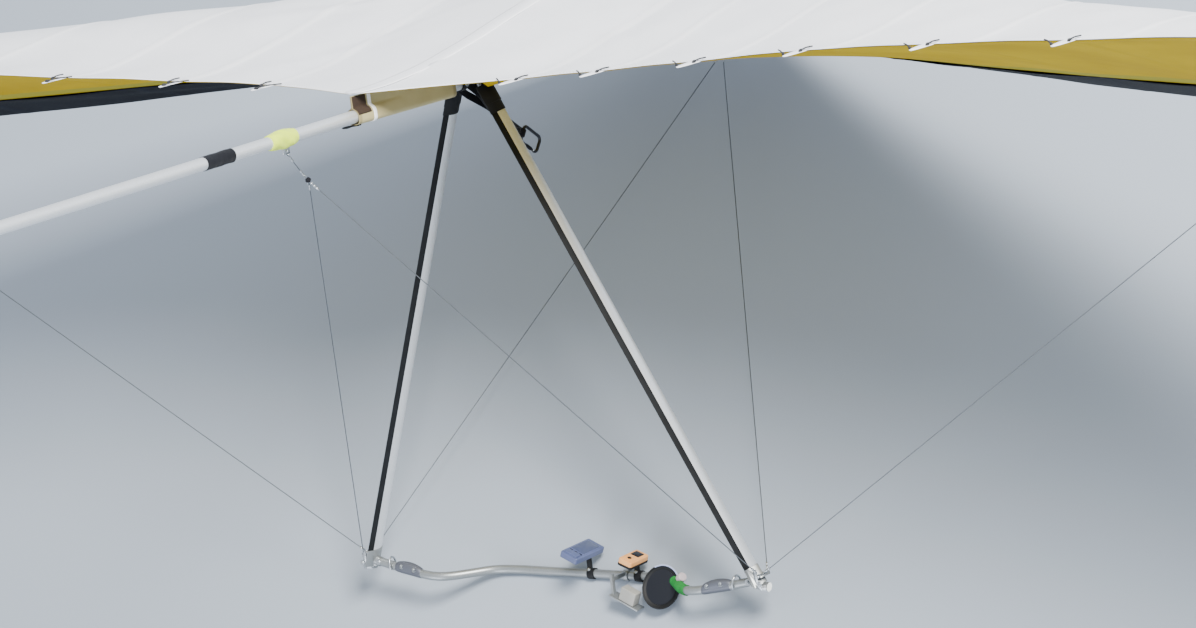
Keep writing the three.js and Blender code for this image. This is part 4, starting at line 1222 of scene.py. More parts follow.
def teardrop(name, side, places):
    """A bar of the downtube's section between the first and the last of some places on its chord."""
    top, along, aft, across_tube = downtube_axes(side)
    half = half_thickness(places)
    outline = np.concatenate([np.stack([places, half], -1), np.stack([places, -half], -1)[::-1]])
    centre = outline.mean(axis=0)
    rings = []
    for distance, inset in ((TUBE_FROM, TUBE_EDGE), (TUBE_FROM + TUBE_EDGE, 0),
                            (TUBE_TO - TUBE_EDGE, 0), (TUBE_TO, TUBE_EDGE)):
        shrunk = centre + (outline - centre) * (1 - inset / EDGE_REACH)
        rings.append(top + along * distance + shrunk[:, :1] * aft + shrunk[:, 1:] * across_tube)
    return ringed(name, np.array(rings))


for side, label in SIDES:
    nose_places = -DOWNTUBE["front"] * np.cos(np.linspace(0.02, math.pi / 2, 20))
    tube_places = np.concatenate([nose_places, np.linspace(0, DOWNTUBE["seam"] - 0.8, 14)[1:],
                                  [DOWNTUBE["seam"]]])
    new_piece(f"downtube_drawn_{label}", teardrop("downtube", side, tube_places), clear_anodised,
              stands_for=(f"downtube_{label}",))
    tail_places = np.linspace(DOWNTUBE["seam"] + 0.3, DOWNTUBE["rear"], 16)
    new_piece(f"fairing_moulded_{label}", teardrop("fairing", side, tail_places), black_nylon,
              stands_for=(f"downtube_fairing_{label}",))

# %% [markdown]
# ## Base bar
#
# The base bar is a tube bent forward in its middle. Its path runs smoothly through a few
# points, with the same spline rule as the model's own, so clamps and grips sit right on it.

# %% Base bar and grip
BAR_RADIUS = 14.0
BAR_HALF_PATH = [(-716, -118, -1568), (-600, -112, -1590), (-480, -116, -1606),
                 (-340, -226, -1608), (-260, -240, -1608), (-130, -240, -1608)]


def smooth_path(points, steps):
    """A centripetal Catmull-Rom spline through points, with evenly spaced steps."""
    points = np.array(points, float)
    points = np.concatenate([[2 * points[0] - points[1]], points, [2 * points[-1] - points[-2]]])
    fine = []
    for p0, p1, p2, p3 in zip(points[:-3], points[1:-2], points[2:-1], points[3:]):
        t0, t1, t2 = (math.sqrt(np.linalg.norm(b - a)) for a, b in ((p0, p1), (p1, p2), (p2, p3)))
        start = ((p1 - p0) / t0 - (p2 - p0) / (t0 + t1) + (p2 - p1) / t1) * t1
        end = ((p2 - p1) / t1 - (p3 - p1) / (t1 + t2) + (p3 - p2) / t2) * t1
        t = np.linspace(0, 1, 40, endpoint=False)[:, None]
        fine.append(p1 + start * t + (3 * (p2 - p1) - 2 * start - end) * t ** 2
                    + (2 * (p1 - p2) + start + end) * t ** 3)
    fine = np.concatenate([*fine, points[-2:-1]])
    run = np.concatenate([[0], np.linalg.norm(np.diff(fine, axis=0), axis=1).cumsum()])
    even = np.linspace(0, run[-1], steps + 1)
    return np.stack([np.interp(even, run, fine[:, axis]) for axis in range(3)], -1)


bar_path = smooth_path(BAR_HALF_PATH + [(-x, y, z) for x, y, z in reversed(BAR_HALF_PATH)], 180)
new_piece("base_bar_bent", tube(bar_path, BAR_RADIUS, darker_grey, 40), None,
          stands_for=("base_bar",))


def bar_between(first_x, last_x):
    """The stretch of the bar's path between two places along X."""
    return bar_path[(bar_path[:, 0] > first_x) & (bar_path[:, 0] < last_x)]


GRIP_PLACE = (-478, -352)
grip_path = smooth_path(bar_between(*GRIP_PLACE), 40)
grip = [tube(grip_path, BAR_RADIUS + 2.2, green_rubber, 40),
        grow(rib_tree, lines_seed(grip_path), Spacing=6.0, Ring_radius=BAR_RADIUS + 2.0, Rib_radius=1.0,
             Finish=green_rubber)]
new_piece("green_grip_ribbed", joined("grip", *grip), None, stands_for=("green_grip",))

# %% [markdown]
# ## Hang strap and carabiner
#
# The strap is one loop of black webbing: down one side of the keel, through the carabiner's
# eye and up the other side, with its two layers stitched together below the keel. It hangs
# straight down from a pin, so it is drawn in the pin's own upright frame, and rides on the
# moving body of the strap.

# %% Webbing of the strap
def at_joint(name):
    """Places a drawing in millimetres, upright, at a joint of the record."""
    joint = next(j for j in frame["record"]["behaviour"]["joints"] if j["name"] == name)
    return Matrix.Translation(joint["pos_m"]) @ Matrix.Scale(MM, 4)


STRAP_PLACE = at_joint("strap_swing")
STRAP_WIDTH, STRAP_THICKNESS = 24.0, 3.5
LAYER_X = 2.05  # the middle of one layer, where two lie together
LEG_X, SHOULDER_Z, FORK_Z = 26.0, -70.0, -152.0
EYE_Z, EYE_MIDDLE_RADIUS = -339.0, 8.3

leg = [(LEG_X, 0, 10.5), (LEG_X, 0, -10), (LEG_X, 0, SHOULDER_Z + 8), (LEG_X - 0.8, 0, SHOULDER_Z - 4),
       (LAYER_X + 2.2, 0, FORK_Z + 6), (LAYER_X, 0, FORK_Z - 8), (LAYER_X, 0, EYE_Z + 15)]
eye_angles = np.radians(np.linspace(62, -90, 12))
eye = [(EYE_MIDDLE_RADIUS * math.cos(a), 0, EYE_Z + EYE_MIDDLE_RADIUS * math.sin(a)) for a in eye_angles]
half_loop = leg + eye
strap_path = smooth_path(half_loop + [(-x, y, z) for x, y, z in reversed(half_loop[:-1])], 260)
webbing = finished(ribbon("hang_strap_webbing", strap_path, STRAP_WIDTH, STRAP_THICKNESS), webbing_black)

# %% Stitching and pins of the strap
THREAD_PLACE = LAYER_X + STRAP_THICKNESS / 2 + 0.1
EYELET = [(0, 4.0), (0, 8.5), (0.8, 9.2), (1.6, 8.5), (1.6, 4.0)]
EYELET_FROM, EYELET_TO, PIN_END = 27.6, 30, 27.8  # along X, out from the strap's middle


def stitched_box(low, high):
    """A box with a cross in it, sewn through both layers and seen on both faces."""
    y = STRAP_WIDTH / 2 - 4
    corners = [(-y, low), (y, low), (y, high), (-y, high)]
    rows = [(corners[a], corners[b]) for a, b in ((0, 1), (1, 2), (2, 3), (3, 0), (0, 2), (1, 3))]
    return [[(face * THREAD_PLACE, y0, z0), (face * THREAD_PLACE, y1, z1)]
            for face in (1, -1) for (y0, z0), (y1, z1) in rows]


# Bonded thread is thick polyester yarn with a resin over it, matt and stiff like a plastic.
grey_thread = moulded("bonded_polyester_thread", "#5B5E66", "#777B84", 0.6)
seams = stitches(stitched_box(-212, -170) + stitched_box(-322, -282), grey_thread, 3.2, 2.4, 0.45)
eyelets = [finished(turned("eyelet", EYELET, (side * EYELET_FROM, 0, 0), (side * EYELET_TO, 0, 0), 32,
                           hollow=True), stainless) for side, _ in SIDES]
pin_ends = bolts([(PIN_END, 0, 0), (-PIN_END, 0, 0)], [(1, 0, 0), (-1, 0, 0)], 4.6, 3.0)
new_piece("hang_strap_sewn", joined("strap", webbing, seams, pin_ends, *eyelets), None, "strap",
          ("hang_strap",), STRAP_PLACE)

saddle = on_keel("saddle", SADDLE_PLACE, tape_profile(19.4, 22.6), wound)
new_piece("strap_saddle_webbing", saddle, webbing_black, stands_for=("strap_saddle",))

# %% [markdown]
# The carabiner is forged from steel rod. Its gate closes one long side: a thinner pin with
# a knurled locking sleeve, hinged on a rivet at one end.

# %% Carabiner with its gate
ROD_RADIUS, GATE_RADIUS = 5.0, 4.0
RING_HALF_WIDTH, RING_HALF_HEIGHT, RING_CORNER = 26.0, 44.0, 14.0
RING_MIDDLE_Z = EYE_Z - RING_HALF_HEIGHT
GATE_TOP_Z, GATE_FOOT_Z = RING_MIDDLE_Z + 26, RING_MIDDLE_Z - 29


def ring_arc(centre_y, centre_z, first, last):
    """A round corner of the ring, between two angles in degrees."""
    angles = np.radians(np.linspace(first, last, 10))
    return [(0, centre_y + RING_CORNER * math.cos(a), RING_MIDDLE_Z + centre_z + RING_CORNER * math.sin(a))
            for a in angles]


inner_y, inner_z = RING_HALF_WIDTH - RING_CORNER, RING_HALF_HEIGHT - RING_CORNER
body_path = [(0, RING_HALF_WIDTH, GATE_TOP_Z), *ring_arc(inner_y, inner_z, 0, 90),
             *ring_arc(-inner_y, inner_z, 90, 180), *ring_arc(-inner_y, -inner_z, 180, 270),
             *ring_arc(inner_y, -inner_z, 270, 360), (0, RING_HALF_WIDTH, GATE_FOOT_Z)]
gate_path = [(0, RING_HALF_WIDTH, GATE_TOP_Z - 1.0), (0, RING_HALF_WIDTH, GATE_FOOT_Z + 0.6)]
sleeve_path = [(0, RING_HALF_WIDTH, RING_MIDDLE_Z + 12), (0, RING_HALF_WIDTH, RING_MIDDLE_Z - 14)]
sleeve = finished(turned("locking_sleeve", [(0, 4.4), (1, 5.4), (25, 5.4), (26, 4.4)], *sleeve_path, 40),
                  black_anodised)
rivet_ends = [(x, RING_HALF_WIDTH, GATE_FOOT_Z + 5) for x in (-6, 6)]
rivet = finished(turned("gate_rivet", [(0, 1.6), (0.6, 2.4), (11.4, 2.4), (12, 1.6)], *rivet_ends, 20),
                 clear_anodised)
knurls = grow(rib_tree, lines_seed(sleeve_path), Spacing=2.0, Ring_radius=5.3, Rib_radius=0.45,
              Finish=black_anodised)
carabiner_parts = [tube(body_path, ROD_RADIUS, dark_steel, 28), tube(gate_path, GATE_RADIUS, dark_steel, 24),
                   sleeve, rivet, knurls]
new_piece("carabiner_forged", joined("carabiner", *carabiner_parts), None, "carabiner",
          ("carabiner",), STRAP_PLACE)

# %% [markdown]
# ## The nose
#
# The keel and both leading edges meet at the nose plate. A cloth cone is pulled over the
# nose, from the upper surface round the leading edge to the plate, and closes the gap
# between the two halves of the sail.

# %% Nose cone and nose plate
CONE_HALF, CONE_REAR_Y, CONE_FLOOR_Z, CONE_PROUD = 168.0, -1204.0, -18.6, 3.0


def nose_cone():
    """The cloth over the nose, as one grid from wing to wing."""
    spans = np.linspace(-CONE_HALF, CONE_HALF, 33)
    rear = share_at(np.abs(spans), CONE_REAR_Y)
    upper = rear[:, None] * (np.linspace(1, 0, 18) ** 1.6)[None, :]
    under = rear[:, None] * (np.linspace(0, 1, 12)[1:] ** 1.6)[None, :]
    share = np.concatenate([upper, under], axis=1)
    span = np.broadcast_to(spans[:, None], share.shape)
    y, top, low = wing_section(np.abs(span), share)
    above = np.arange(share.shape[1]) < upper.shape[1]
    sag = 1.5 * np.sin(span / 31.0) * np.sin(y / 47.0)
    z = np.where(above[None, :], top + CONE_PROUD + sag, np.maximum(low - CONE_PROUD, CONE_FLOOR_Z))
    front = y - CONE_PROUD * np.exp(-share / 0.01)
    grid = np.stack([span, front, z], -1)
    hem = np.clip((np.abs(span) - CONE_HALF + 16) / 4, 0, 1)
    values = {"doubled": np.maximum(hem, share > rear[:, None] * 0.9), "share": share}
    return cloth_from_grid("nose_cone_cloth", grid, CLOTH_THICKNESS, normals_of(grid), values)


cloth_piece(nose_cone(), white_cloth,
            ("nose_cone",))

plate_bolts = [(x, y, -25.6) for x, y in ((0, -1430), (-26, -1425), (26, -1425), (-84, -1262), (84, -1262),
                                          (-60, -1330), (60, -1330))]
tang_bolts = [(3.0, -1340, -42), (-3.0, -1340, -42)]
nose_ways = [(0, 0, -1)] * len(plate_bolts) + [(1, 0, 0), (-1, 0, 0)]
nose_bolts = bolts(plate_bolts + tang_bolts, nose_ways, 5.0, 3.4)
refined("nose_plate", clear_anodised, 1.4, 2, [nose_bolts])

# %% [markdown]
# ## Root tape and keel pocket
#
# A white tape is sewn over the seam where the two halves of the sail meet. Below it hangs
# the keel pocket, a tan cloth that goes down one side of the keel, under it, and up the
# other side. Its rear end is held by a patch of dark webbing and a light tape.

# %% Root tape
TAPE_FROM_Y, TAPE_TO_Y = CONE_REAR_Y - 30, 556
TAPE_SPANS = np.array([-34, -24, -12, 0, 12, 24, 34], float)
TAPE_PROUD = 2.6


def root_tape():
    """The tape over the middle seam, laid on the wing's own upper surface."""
    y = np.linspace(TAPE_FROM_Y, TAPE_TO_Y, 90)
    y, span = np.meshgrid(y, TAPE_SPANS, indexing="ij")
    share = np.minimum(1, share_at(np.abs(span), y))
    y, top, _ = wing_section(np.abs(span), share)
    grid = np.stack([span, y, top + TAPE_PROUD + 0.5 * np.sin(y / 40)], -1)
    edge = np.clip((np.abs(span) - 22) / 3, 0, 1)
    return cloth_from_grid("root_tape", grid, CLOTH_THICKNESS, DOWN, {"doubled": edge, "share": share})


cloth_piece(root_tape(), white_cloth)


# %% Keel pocket
POCKET_FRONT, POCKET_REAR, POCKET_HALF_WIDTH = 98.0, 564.0, 22.4
POCKET_FLOOR_FRONT, POCKET_FLOOR_REAR = -32.0, -24.4
POCKET_BEND = 15.0  # the radius of the U's two corners
SAIL_END_Y = 559.0  # behind it there is no sail over the pocket
HUG_FROM, HUG_OVER, HUG_GAP = 330, 190, 20.2  # where and how the sides close in over the keel
WAVES_END, WAVES_FADE = 520, 150  # the cloth's waves die out before the tie


def half_at(y, z, half):
    """Half the pocket's width: towards its end the two sides meet over the keel and hug the tube."""
    part = min(1, max(0, (y - HUG_FROM) / HUG_OVER))
    pinch = part * part * (3 - 2 * part)
    if z <= 0:
        return half
    hugged = max(half - HUG_GAP, math.sqrt(max(0.0, half * half - z * z)))
    return half + (hugged - half) * pinch


def pocket_outline(y, proud=0.0):
    """The U of the pocket at one place along the keel, as points in X and Z."""
    _, _, low = wing_section(0.0, share_at(0.0, min(y, SAIL_END_Y)))
    roof = float(low) - 3
    part = (y - POCKET_FRONT) / (POCKET_REAR - POCKET_FRONT)
    floor_z = POCKET_FLOOR_FRONT + (POCKET_FLOOR_REAR - POCKET_FLOOR_FRONT) * part - proud
    half = POCKET_HALF_WIDTH + proud
    bend_z = floor_z + POCKET_BEND
    right = [(half_at(y, z, half), z) for z in np.linspace(roof, bend_z, 20)]
    right += [(half - POCKET_BEND + POCKET_BEND * math.cos(a), bend_z - POCKET_BEND * math.sin(a))
              for a in np.linspace(0, math.pi / 2, 7)[1:]]
    return np.array(right + [(-x, z) for x, z in reversed(right)])


def pocket_cloth(name, places, proud, thickness, hem_width):
    """A cloth of the pocket's outline over some places along the keel. A proud one lies flat on it."""
    rows = []
    for y in places:
        outline = pocket_outline(y, proud)
        reach = np.clip((outline[:, 1] + 10) / 40, 0, 1)
        wave = 0.9 * np.sin(y / 23 + outline[:, 1] / 15) + 0.6 * np.sin(y / 11 - outline[:, 1] / 9)
        loose = (proud == 0) * min(1, max(0, (WAVES_END - y) / WAVES_FADE))
        pull = np.sign(outline[:, 0]) * reach * (wave - 1.2) * loose
        rows.append(np.stack([outline[:, 0] + pull, np.full(len(outline), y), outline[:, 1]], -1))
    grid = np.array(rows)
    inward = normals_of(grid)
    middle = np.stack([np.zeros(grid.shape[:2]), grid[..., 1], np.zeros(grid.shape[:2])], -1)
    inward *= np.sign(((middle - grid) * inward).sum(axis=-1, keepdims=True))
    from_end = np.minimum(grid[..., 1] - places[0], places[-1] - grid[..., 1])
    values = {"doubled": np.clip((hem_width - from_end) / 3, 0, 1), "share": from_end}
    return cloth_from_grid(name, grid, thickness, inward, values)


pocket = pocket_cloth("keel_pocket_cloth", np.linspace(POCKET_FRONT, POCKET_REAR, 80), 0.0, 1.4, 18.0)
cloth_piece(pocket, tan_cloth, ("keel_pocket",))
light_tape = pocket_cloth("pocket_light_tape", np.linspace(480, 494, 8), 1.5, 1.2, 5.0)
cloth_piece(light_tape, white_cloth)

# %% Patches and tie at the pocket's end
PATCH_PLACE, PATCH_FOOT_Z, PATCH_PROUD = (502, 562), 6.0, 2.2


def pocket_patch(side, label):
    """A rectangle of dark webbing on the upper part of one side of the pocket's end."""
    y, z_share = np.meshgrid(np.linspace(*PATCH_PLACE, 20), np.linspace(0, 1, 16), indexing="ij")
    roof = np.array([pocket_outline(float(place))[0, 1] for place in y[:, 0]])[:, None]
    z = roof - 2 - (roof - 2 - PATCH_FOOT_Z) * z_share
    half = np.vectorize(half_at)(y, z, POCKET_HALF_WIDTH + PATCH_PROUD)
    x = side * (half + 0.4 * np.sin(y / 9) * np.sin(z / 7))
    grid = np.stack([x, y, z], -1)
    return cloth_from_grid(f"pocket_patch_{label}", grid, 1.6, (-side, 0.0, 0.0), plain_values(grid))


for side, label in SIDES:
    cloth_piece(pocket_patch(side, label), dark_webbing)
tie = turned("pocket_tie", [(0, 1.5), (4, 2.8), (14, 3.4), (40, 2.6), (66, 3.6), (84, 2.4), (88, 1.2)],
             (2, 530, -27.6), (1, 620, -23.4), 20, wound)
new_piece("pocket_tie", tie, webbing_black)

# %% [markdown]
# ## Batten tips
#
# Each batten ends in a narrow tongue behind the trailing edge, and a dark cord runs from
# the tongue to both sides, which keeps the batten tight in its pocket. A tree forms the
# tongue from a block: it tapers, thins towards its edges and ends round.

# %% Tree for the tongues
tongue_tree, given = start_tree("batten_tongue", Length="Float", Root_width="Float", Tip_width="Float",
                                Thickness="Float", Finish="Material")
block = add_node(tongue_tree, "GeometryNodeMeshCube", {},
                 {"Size": (1.0, 1.0, 1.0), "Vertices X": 9, "Vertices Y": 15, "Vertices Z": 3})
parts = add_node(tongue_tree, "ShaderNodeSeparateXYZ", {}, {
    "Vector": add_node(tongue_tree, "GeometryNodeInputPosition").outputs["Position"]}).outputs
share = calc(tongue_tree, "ADD", parts["Y"], 0.5)
narrowing = calc(tongue_tree, "SUBTRACT", given["Tip width"], given["Root width"])
taper = calc(tongue_tree, "ADD", given["Root width"], calc(tongue_tree, "MULTIPLY", narrowing, share))
blunt = calc(tongue_tree, "SUBTRACT", 1.0,
             calc(tongue_tree, "MULTIPLY", calc(tongue_tree, "POWER", share, 10.0), 0.55))
width = calc(tongue_tree, "MULTIPLY", taper, blunt)
off_middle = calc(tongue_tree, "MULTIPLY", parts["X"], parts["X"])
fullness = calc(tongue_tree, "SUBTRACT", 1.0, calc(tongue_tree, "MULTIPLY", off_middle, 3.2))
height = calc(tongue_tree, "MULTIPLY", fullness, given["Thickness"])
moved = xyz(tongue_tree, calc(tongue_tree, "MULTIPLY", parts["X"], width),
            calc(tongue_tree, "MULTIPLY", share, given["Length"]),
            calc(tongue_tree, "MULTIPLY", parts["Z"], height))
tongue = add_node(tongue_tree, "GeometryNodeSetPosition", {},
                  {"Geometry": block.outputs["Mesh"], "Position": moved})
smooth = add_node(tongue_tree, "GeometryNodeSetShadeSmooth", {}, {"Geometry": tongue.outputs["Geometry"]})
end_on_points(tongue_tree, given["Seed"], smooth.outputs["Geometry"], given["Finish"])

# %% Tongues, tips and cords
TONGUE = {"length": 85.0, "root": 44.0, "tip": 26.0, "overlap": 28.0, "thick": 4.6, "z": -1.8}
CORD_RADIUS = 2.0
CORD_START_Z, CORD_MIDDLE_Z, CORD_END_Z = 2.2, 6.0, 4.6
KNOT = [(0, 1.2), (2.5, 3.4), (7, 4.2), (12, 3.4), (15, 2.0)]
CORD_ENDS = [  # start and end, each inboard of the batten and behind its tip
    ((4, -4), (62, -66)), ((-14, -52), (-18, -112)),
]
# Braided cord is dark and dull, and its braid shows as a coarse grain.
dark_cord = moulded("braided_polyester_cord", "#17181B", "#26282D", 0.75, 500.0, 0.0004)


def batten_tips(side, label):
    """The tongues and cords of one wing, as two pieces."""
    places = [(side * span, y - TONGUE["overlap"], z + TONGUE["z"]) for span, y, z in BATTEN_ENDS[1:]]
    tongues = grow(tongue_tree, points_seed(places, [(0, 0, 1)] * len(places)), Finish=white_cloth,
                   Length=TONGUE["length"] + TONGUE["overlap"], Root_width=TONGUE["root"],
                   Tip_width=TONGUE["tip"], Thickness=TONGUE["thick"])
    layer = tongues.uv_layers.new(name="cloth")
    corners = np.array([tongues.vertices[loop.vertex_index].co[:2] for loop in tongues.loops], np.float32)
    layer.data.foreach_set("uv", (corners * MM).reshape(-1))
    new_piece(f"batten_tongues_{label}", tongues, None)

    cords, knots = [], []
    for span, y, z in BATTEN_ENDS[1:]:
        x, tip_y = side * span, y + TONGUE["length"]
        for (dx, dy), (end_x, end_y) in CORD_ENDS:
            start = (x - side * dx, tip_y + dy, z + CORD_START_Z)
            middle = (x - side * (dx + end_x) / 2, tip_y + (dy + end_y) / 2, z + CORD_MIDDLE_Z)
            anchor = (x - side * end_x, tip_y + end_y, z + CORD_END_Z)
            cords.append(smooth_path([start, middle, anchor], 10))
            knots.append(finished(turned("cord_knot", KNOT, start, middle, 16), dark_cord))
    cord_mesh = grow(tube_tree, lines_seed(*cords), Radius=CORD_RADIUS, Sides=10, Finish=dark_cord)
    new_piece(f"batten_cords_{label}", joined("cords", cord_mesh, *knots), None)


for side, label in SIDES:
    batten_tips(side, label)

# %% [markdown]
# ## Seams of the sail
#
# Two rows of stitching hold the hem of the trailing edge, and one row holds the upper
# surface to the navy band.

# %% Stitch rows
HEM_ROWS, BAND_ROW = (0.9865, 0.9945), BAND_TOP - 0.006  # shares of the chord
HEM_FROM, BAND_FROM, ROWS_TO = 44, 190, 4990  # along the span
HEM_LIFT, BAND_LIFT = 0.35, 1.75  # off the cloth below
white_thread = moulded("bonded_polyester_thread_white", "#C9CBD0", "#DADCE0", 0.6)


def row_on_sail(side, share, first, lift):
    """A line of points along the span, a little above the upper cloth."""
    spans = np.arange(first, ROWS_TO, 20.0)
    y, top, _ = wing_section(spans, np.full_like(spans, share))
    height = relief(side, spans, y, np.full_like(spans, share))
    return np.stack([side * spans, y, top + height + lift], -1)


for side, label in SIDES:
    rows = [row_on_sail(side, share, HEM_FROM, HEM_LIFT) for share in HEM_ROWS]
    rows.append(row_on_sail(side, BAND_ROW, BAND_FROM, BAND_LIFT))
    new_piece(f"sail_stitches_{label}", stitches(rows, white_thread, 14.0, 9.0, 0.8), None)

# %% [markdown]
# ## Stays
#
# A stay is a stainless cable of seven strands, and the outer six show as a twist. At each
# end the cable goes round a thimble and back into a crimped ferrule. Where a stay starts
# and ends is read from the model's own rod, so the cable lies where the rod was.

# %% Where a rod of the model ends
FROM_FLOOR = TO_FLOOR.inverted()


def points_of(node):
    """The points of a model's part, in the glider's frame."""
    return np.array([FROM_FLOOR @ v.co for v in frame["nodes"][node].data.vertices])


def rod_ends(node):
    """The two ends of a straight rod, in the glider's frame, the lower one first."""
    points = points_of(node)
    middle = points.mean(axis=0)
    way = points[np.linalg.norm(points - middle, axis=1).argmax()] - middle
    along = (points - middle) @ (way / np.linalg.norm(way))
    ends = [points[np.abs(along - edge).argsort()[:8]].mean(axis=0) for edge in (along.min(), along.max())]
    return sorted(ends, key=lambda end: end[2])


# %% Cables with ferrules and thimbles
CABLE_RADIUS, LAY_LENGTH = 1.6, 26.0
FERRULE_LENGTH, FERRULE_RADIUS, FERRULE_FROM = 22.0, 3.7, 12  # the last is from the cable's end
THIMBLE = {"long": 6.5, "wide": 4.2, "wire": 1.5, "open": 0.3}  # half sizes, and half its gap's angle
stay_nodes = ["nose_leader", "keel_leader"]
stay_nodes += [f"{place}_wire_{label}" for place in ("front", "rear", "side") for _, label in SIDES]
for node in stay_nodes:
    low, high = rod_ends(node)
    length = np.linalg.norm(high - low)
    along = (high - low) / length
    ferrules, thimbles = [], []
    for end, way in ((low, along), (high, -along)):
        ferrules.append([end + way * FERRULE_FROM, end + way * (FERRULE_FROM + FERRULE_LENGTH)])
        flat = np.cross(way, (0, 0, 1)) if abs(way[2]) < 0.9 else np.cross(way, (0, 1, 0))
        flat /= np.linalg.norm(flat)
        angles = np.linspace(THIMBLE["open"], 2 * math.pi - THIMBLE["open"], 18)
        away, out = (1 - np.cos(angles)) * THIMBLE["long"], np.sin(angles) * THIMBLE["wide"]
        thimbles.append(end + np.outer(away, way) + np.outer(out, flat))
    parts = [grow(cable_tree, lines_seed([low, high]), Radius=CABLE_RADIUS, Lay_length=LAY_LENGTH,
                  Finish=wire_rope),
             grow(ferrule_tree, lines_seed(*ferrules), Radius=FERRULE_RADIUS, Crimps=2.0, Finish=stainless),
             grow(tube_tree, lines_seed(*thimbles), Radius=THIMBLE["wire"], Sides=10, Finish=stainless)]
    new_piece(f"{node}_cable", joined(node, *parts), None, stands_for=(node,))

# %% [markdown]
# The front and the rear stays each meet in a small black knot: two cables in a shackle,
# wrapped in tape. The side stays end in bent tangs under the leading edge.

# %% Junctions and anchors
def taped_lumps(distance, angle):
    """Lumps of tape wound tight round something small."""
    return 0.5 * np.sin(3 * angle + distance / 2) + 0.4 * np.sin(4 * angle - distance)


for node, centre, radius in (("front_wire_junction", (0, -1317, -160), 7.4),
                             ("rear_wire_junction", (0, 802, -137), 8.4)):
    angles = np.linspace(0, math.pi, 15)
    profile = [(radius * (1 - math.cos(a)), max(0.01, radius * math.sin(a))) for a in angles]
    foot = (centre[0], centre[1], centre[2] - radius)
    ball = turned(f"{node}_taped", profile, foot, centre, 32, taped_lumps)
    new_piece(f"{node}_taped", ball, webbing_black, stands_for=(node,))

for label in ("left", "right"):
    node = f"side_wire_anchor_{label}"
    corners = points_of(node)
    low, high = corners.min(axis=0), corners.max(axis=0)
    middle = (low + high) / 2
    anchor_bolts = bolts([(middle[0], low[1], middle[2]), (middle[0], high[1], middle[2])],
                         [(0, -1, 0), (0, 1, 0)], 4.4, 3.0)
    refined(node, stainless, 2.4, 3, [anchor_bolts])

# %% [markdown]
# ## Corners of the control frame
#
# The corner bracket is a welded alloy fitting: a sleeve for the downtube, a socket for the
# bar and a lug for the stays. A strap shackle loops round the bar, a clamp with two pins
# holds the bar's joint, and bright bolts go through everything.

# %% Corner fittings
def bar_point(x):
    """A point of the base bar's axis at a place along X."""
    order = bar_path[:, 0].argsort()
    return np.array([x] + [np.interp(x, bar_path[order, 0], bar_path[order, axis]) for axis in (1, 2)])


CLAMP_FROM, CLAMP_TO, CLAMP_RISE, CLAMP_WALL = 545.0, 648.0, 12.0, 1.4


def joint_clamp(side):
    """A cast clamp over the bar's joint: a sleeve with a hump on its upper side."""
    rings = []
    for share in np.linspace(0, 1, 22):
        x = -(CLAMP_FROM + (CLAMP_TO - CLAMP_FROM) * share)
        centre = bar_point(x)
        hump = CLAMP_RISE * math.sin(math.pi * share) ** 0.7
        edge = 1.2 * math.exp(-min(share, 1 - share) / 0.02)
        angle = np.linspace(0, 2 * math.pi, 40, endpoint=False)
        up = np.clip(np.sin(angle), 0, 1) ** 1.5
        radius = BAR_RADIUS + CLAMP_WALL - edge + hump * up
        rings.append(np.stack([np.full(40, x), centre[1] + radius * np.cos(angle) * np.where(up > 0, 0.96, 1),
                               centre[2] + radius * np.sin(angle)], -1))
    rings = np.array(rings)
    rings[..., 0] *= -side
    return ringed("joint_clamp", rings)


CLAMP_PINS_X, CLAMP_PIN_WAY = (568.0, 618.0), (0, 0.8, 0.6)
SHACKLE = {"x": 664, "lean": 6, "deep": 19, "tall": 24, "lift": 4, "wire": 3.2, "past": 0.6}
PLATE_POINTS = [(756, -92, -1522), (758, -90, -1545), (762, -92, -1570), (768, -98, -1586)]
BLOCK_PROFILE = [(0, 12.5), (1, 13.5), (26, 13.5), (27, 12.5)]
PIN_PROFILE = [(0, 3.4), (0.8, 4.2), (62, 4.2), (62.8, 3.4)]

for side, label in SIDES:
    pins = [bar_point(-x) * (0, 1, 1) + (side * x, 12, 11) for x in CLAMP_PINS_X]
    clamp_bolts = bolts(pins, [CLAMP_PIN_WAY] * len(pins), 6.0, 5.0)
    _, ring_y, ring_z = bar_point(-SHACKLE["x"])
    ring_angles = np.linspace(-SHACKLE["past"], math.pi + SHACKLE["past"], 30)
    shackle_path = [(side * (SHACKLE["x"] + SHACKLE["lean"] * math.sin(a / 2)),
                     ring_y + SHACKLE["deep"] * math.cos(a),
                     ring_z + SHACKLE["lift"] + SHACKLE["tall"] * math.sin(a)) for a in ring_angles]
    shackle = tube(shackle_path, SHACKLE["wire"], stainless, 14)
    plate_path = smooth_path([(side * x, y, z) for x, y, z in PLATE_POINTS], 16)
    strap_plate = finished(ribbon("strap_plate", plate_path, 13, 3, across=(side * 0.9, 0, 0.3)), stainless)
    end_block = finished(turned("end_block", BLOCK_PROFILE, (side * 752, -119, -1580),
                                (side * 779, -119, -1582), 40), clear_anodised)
    pin = finished(turned("stay_pin", PIN_PROFILE, (side * 766, -152, -1544), (side * 766, -88, -1544), 24),
                   stainless)
    corner_bolts = bolts([(side * 738, -94.5, -1545), (side * 716, -104, -1566), (side * 769, -88, -1566)],
                         [(0, 1, 0.1), (0, 1, 0.1), (0, 1, 0)], 6.2, 4.2)
    refined(f"corner_bracket_{label}", darker_grey, 1.4, 2,
            [corner_bolts, clamp_bolts, shackle, strap_plate, end_block, pin])
    new_piece(f"bar_joint_clamp_{label}", joint_clamp(side), cast_alloy)

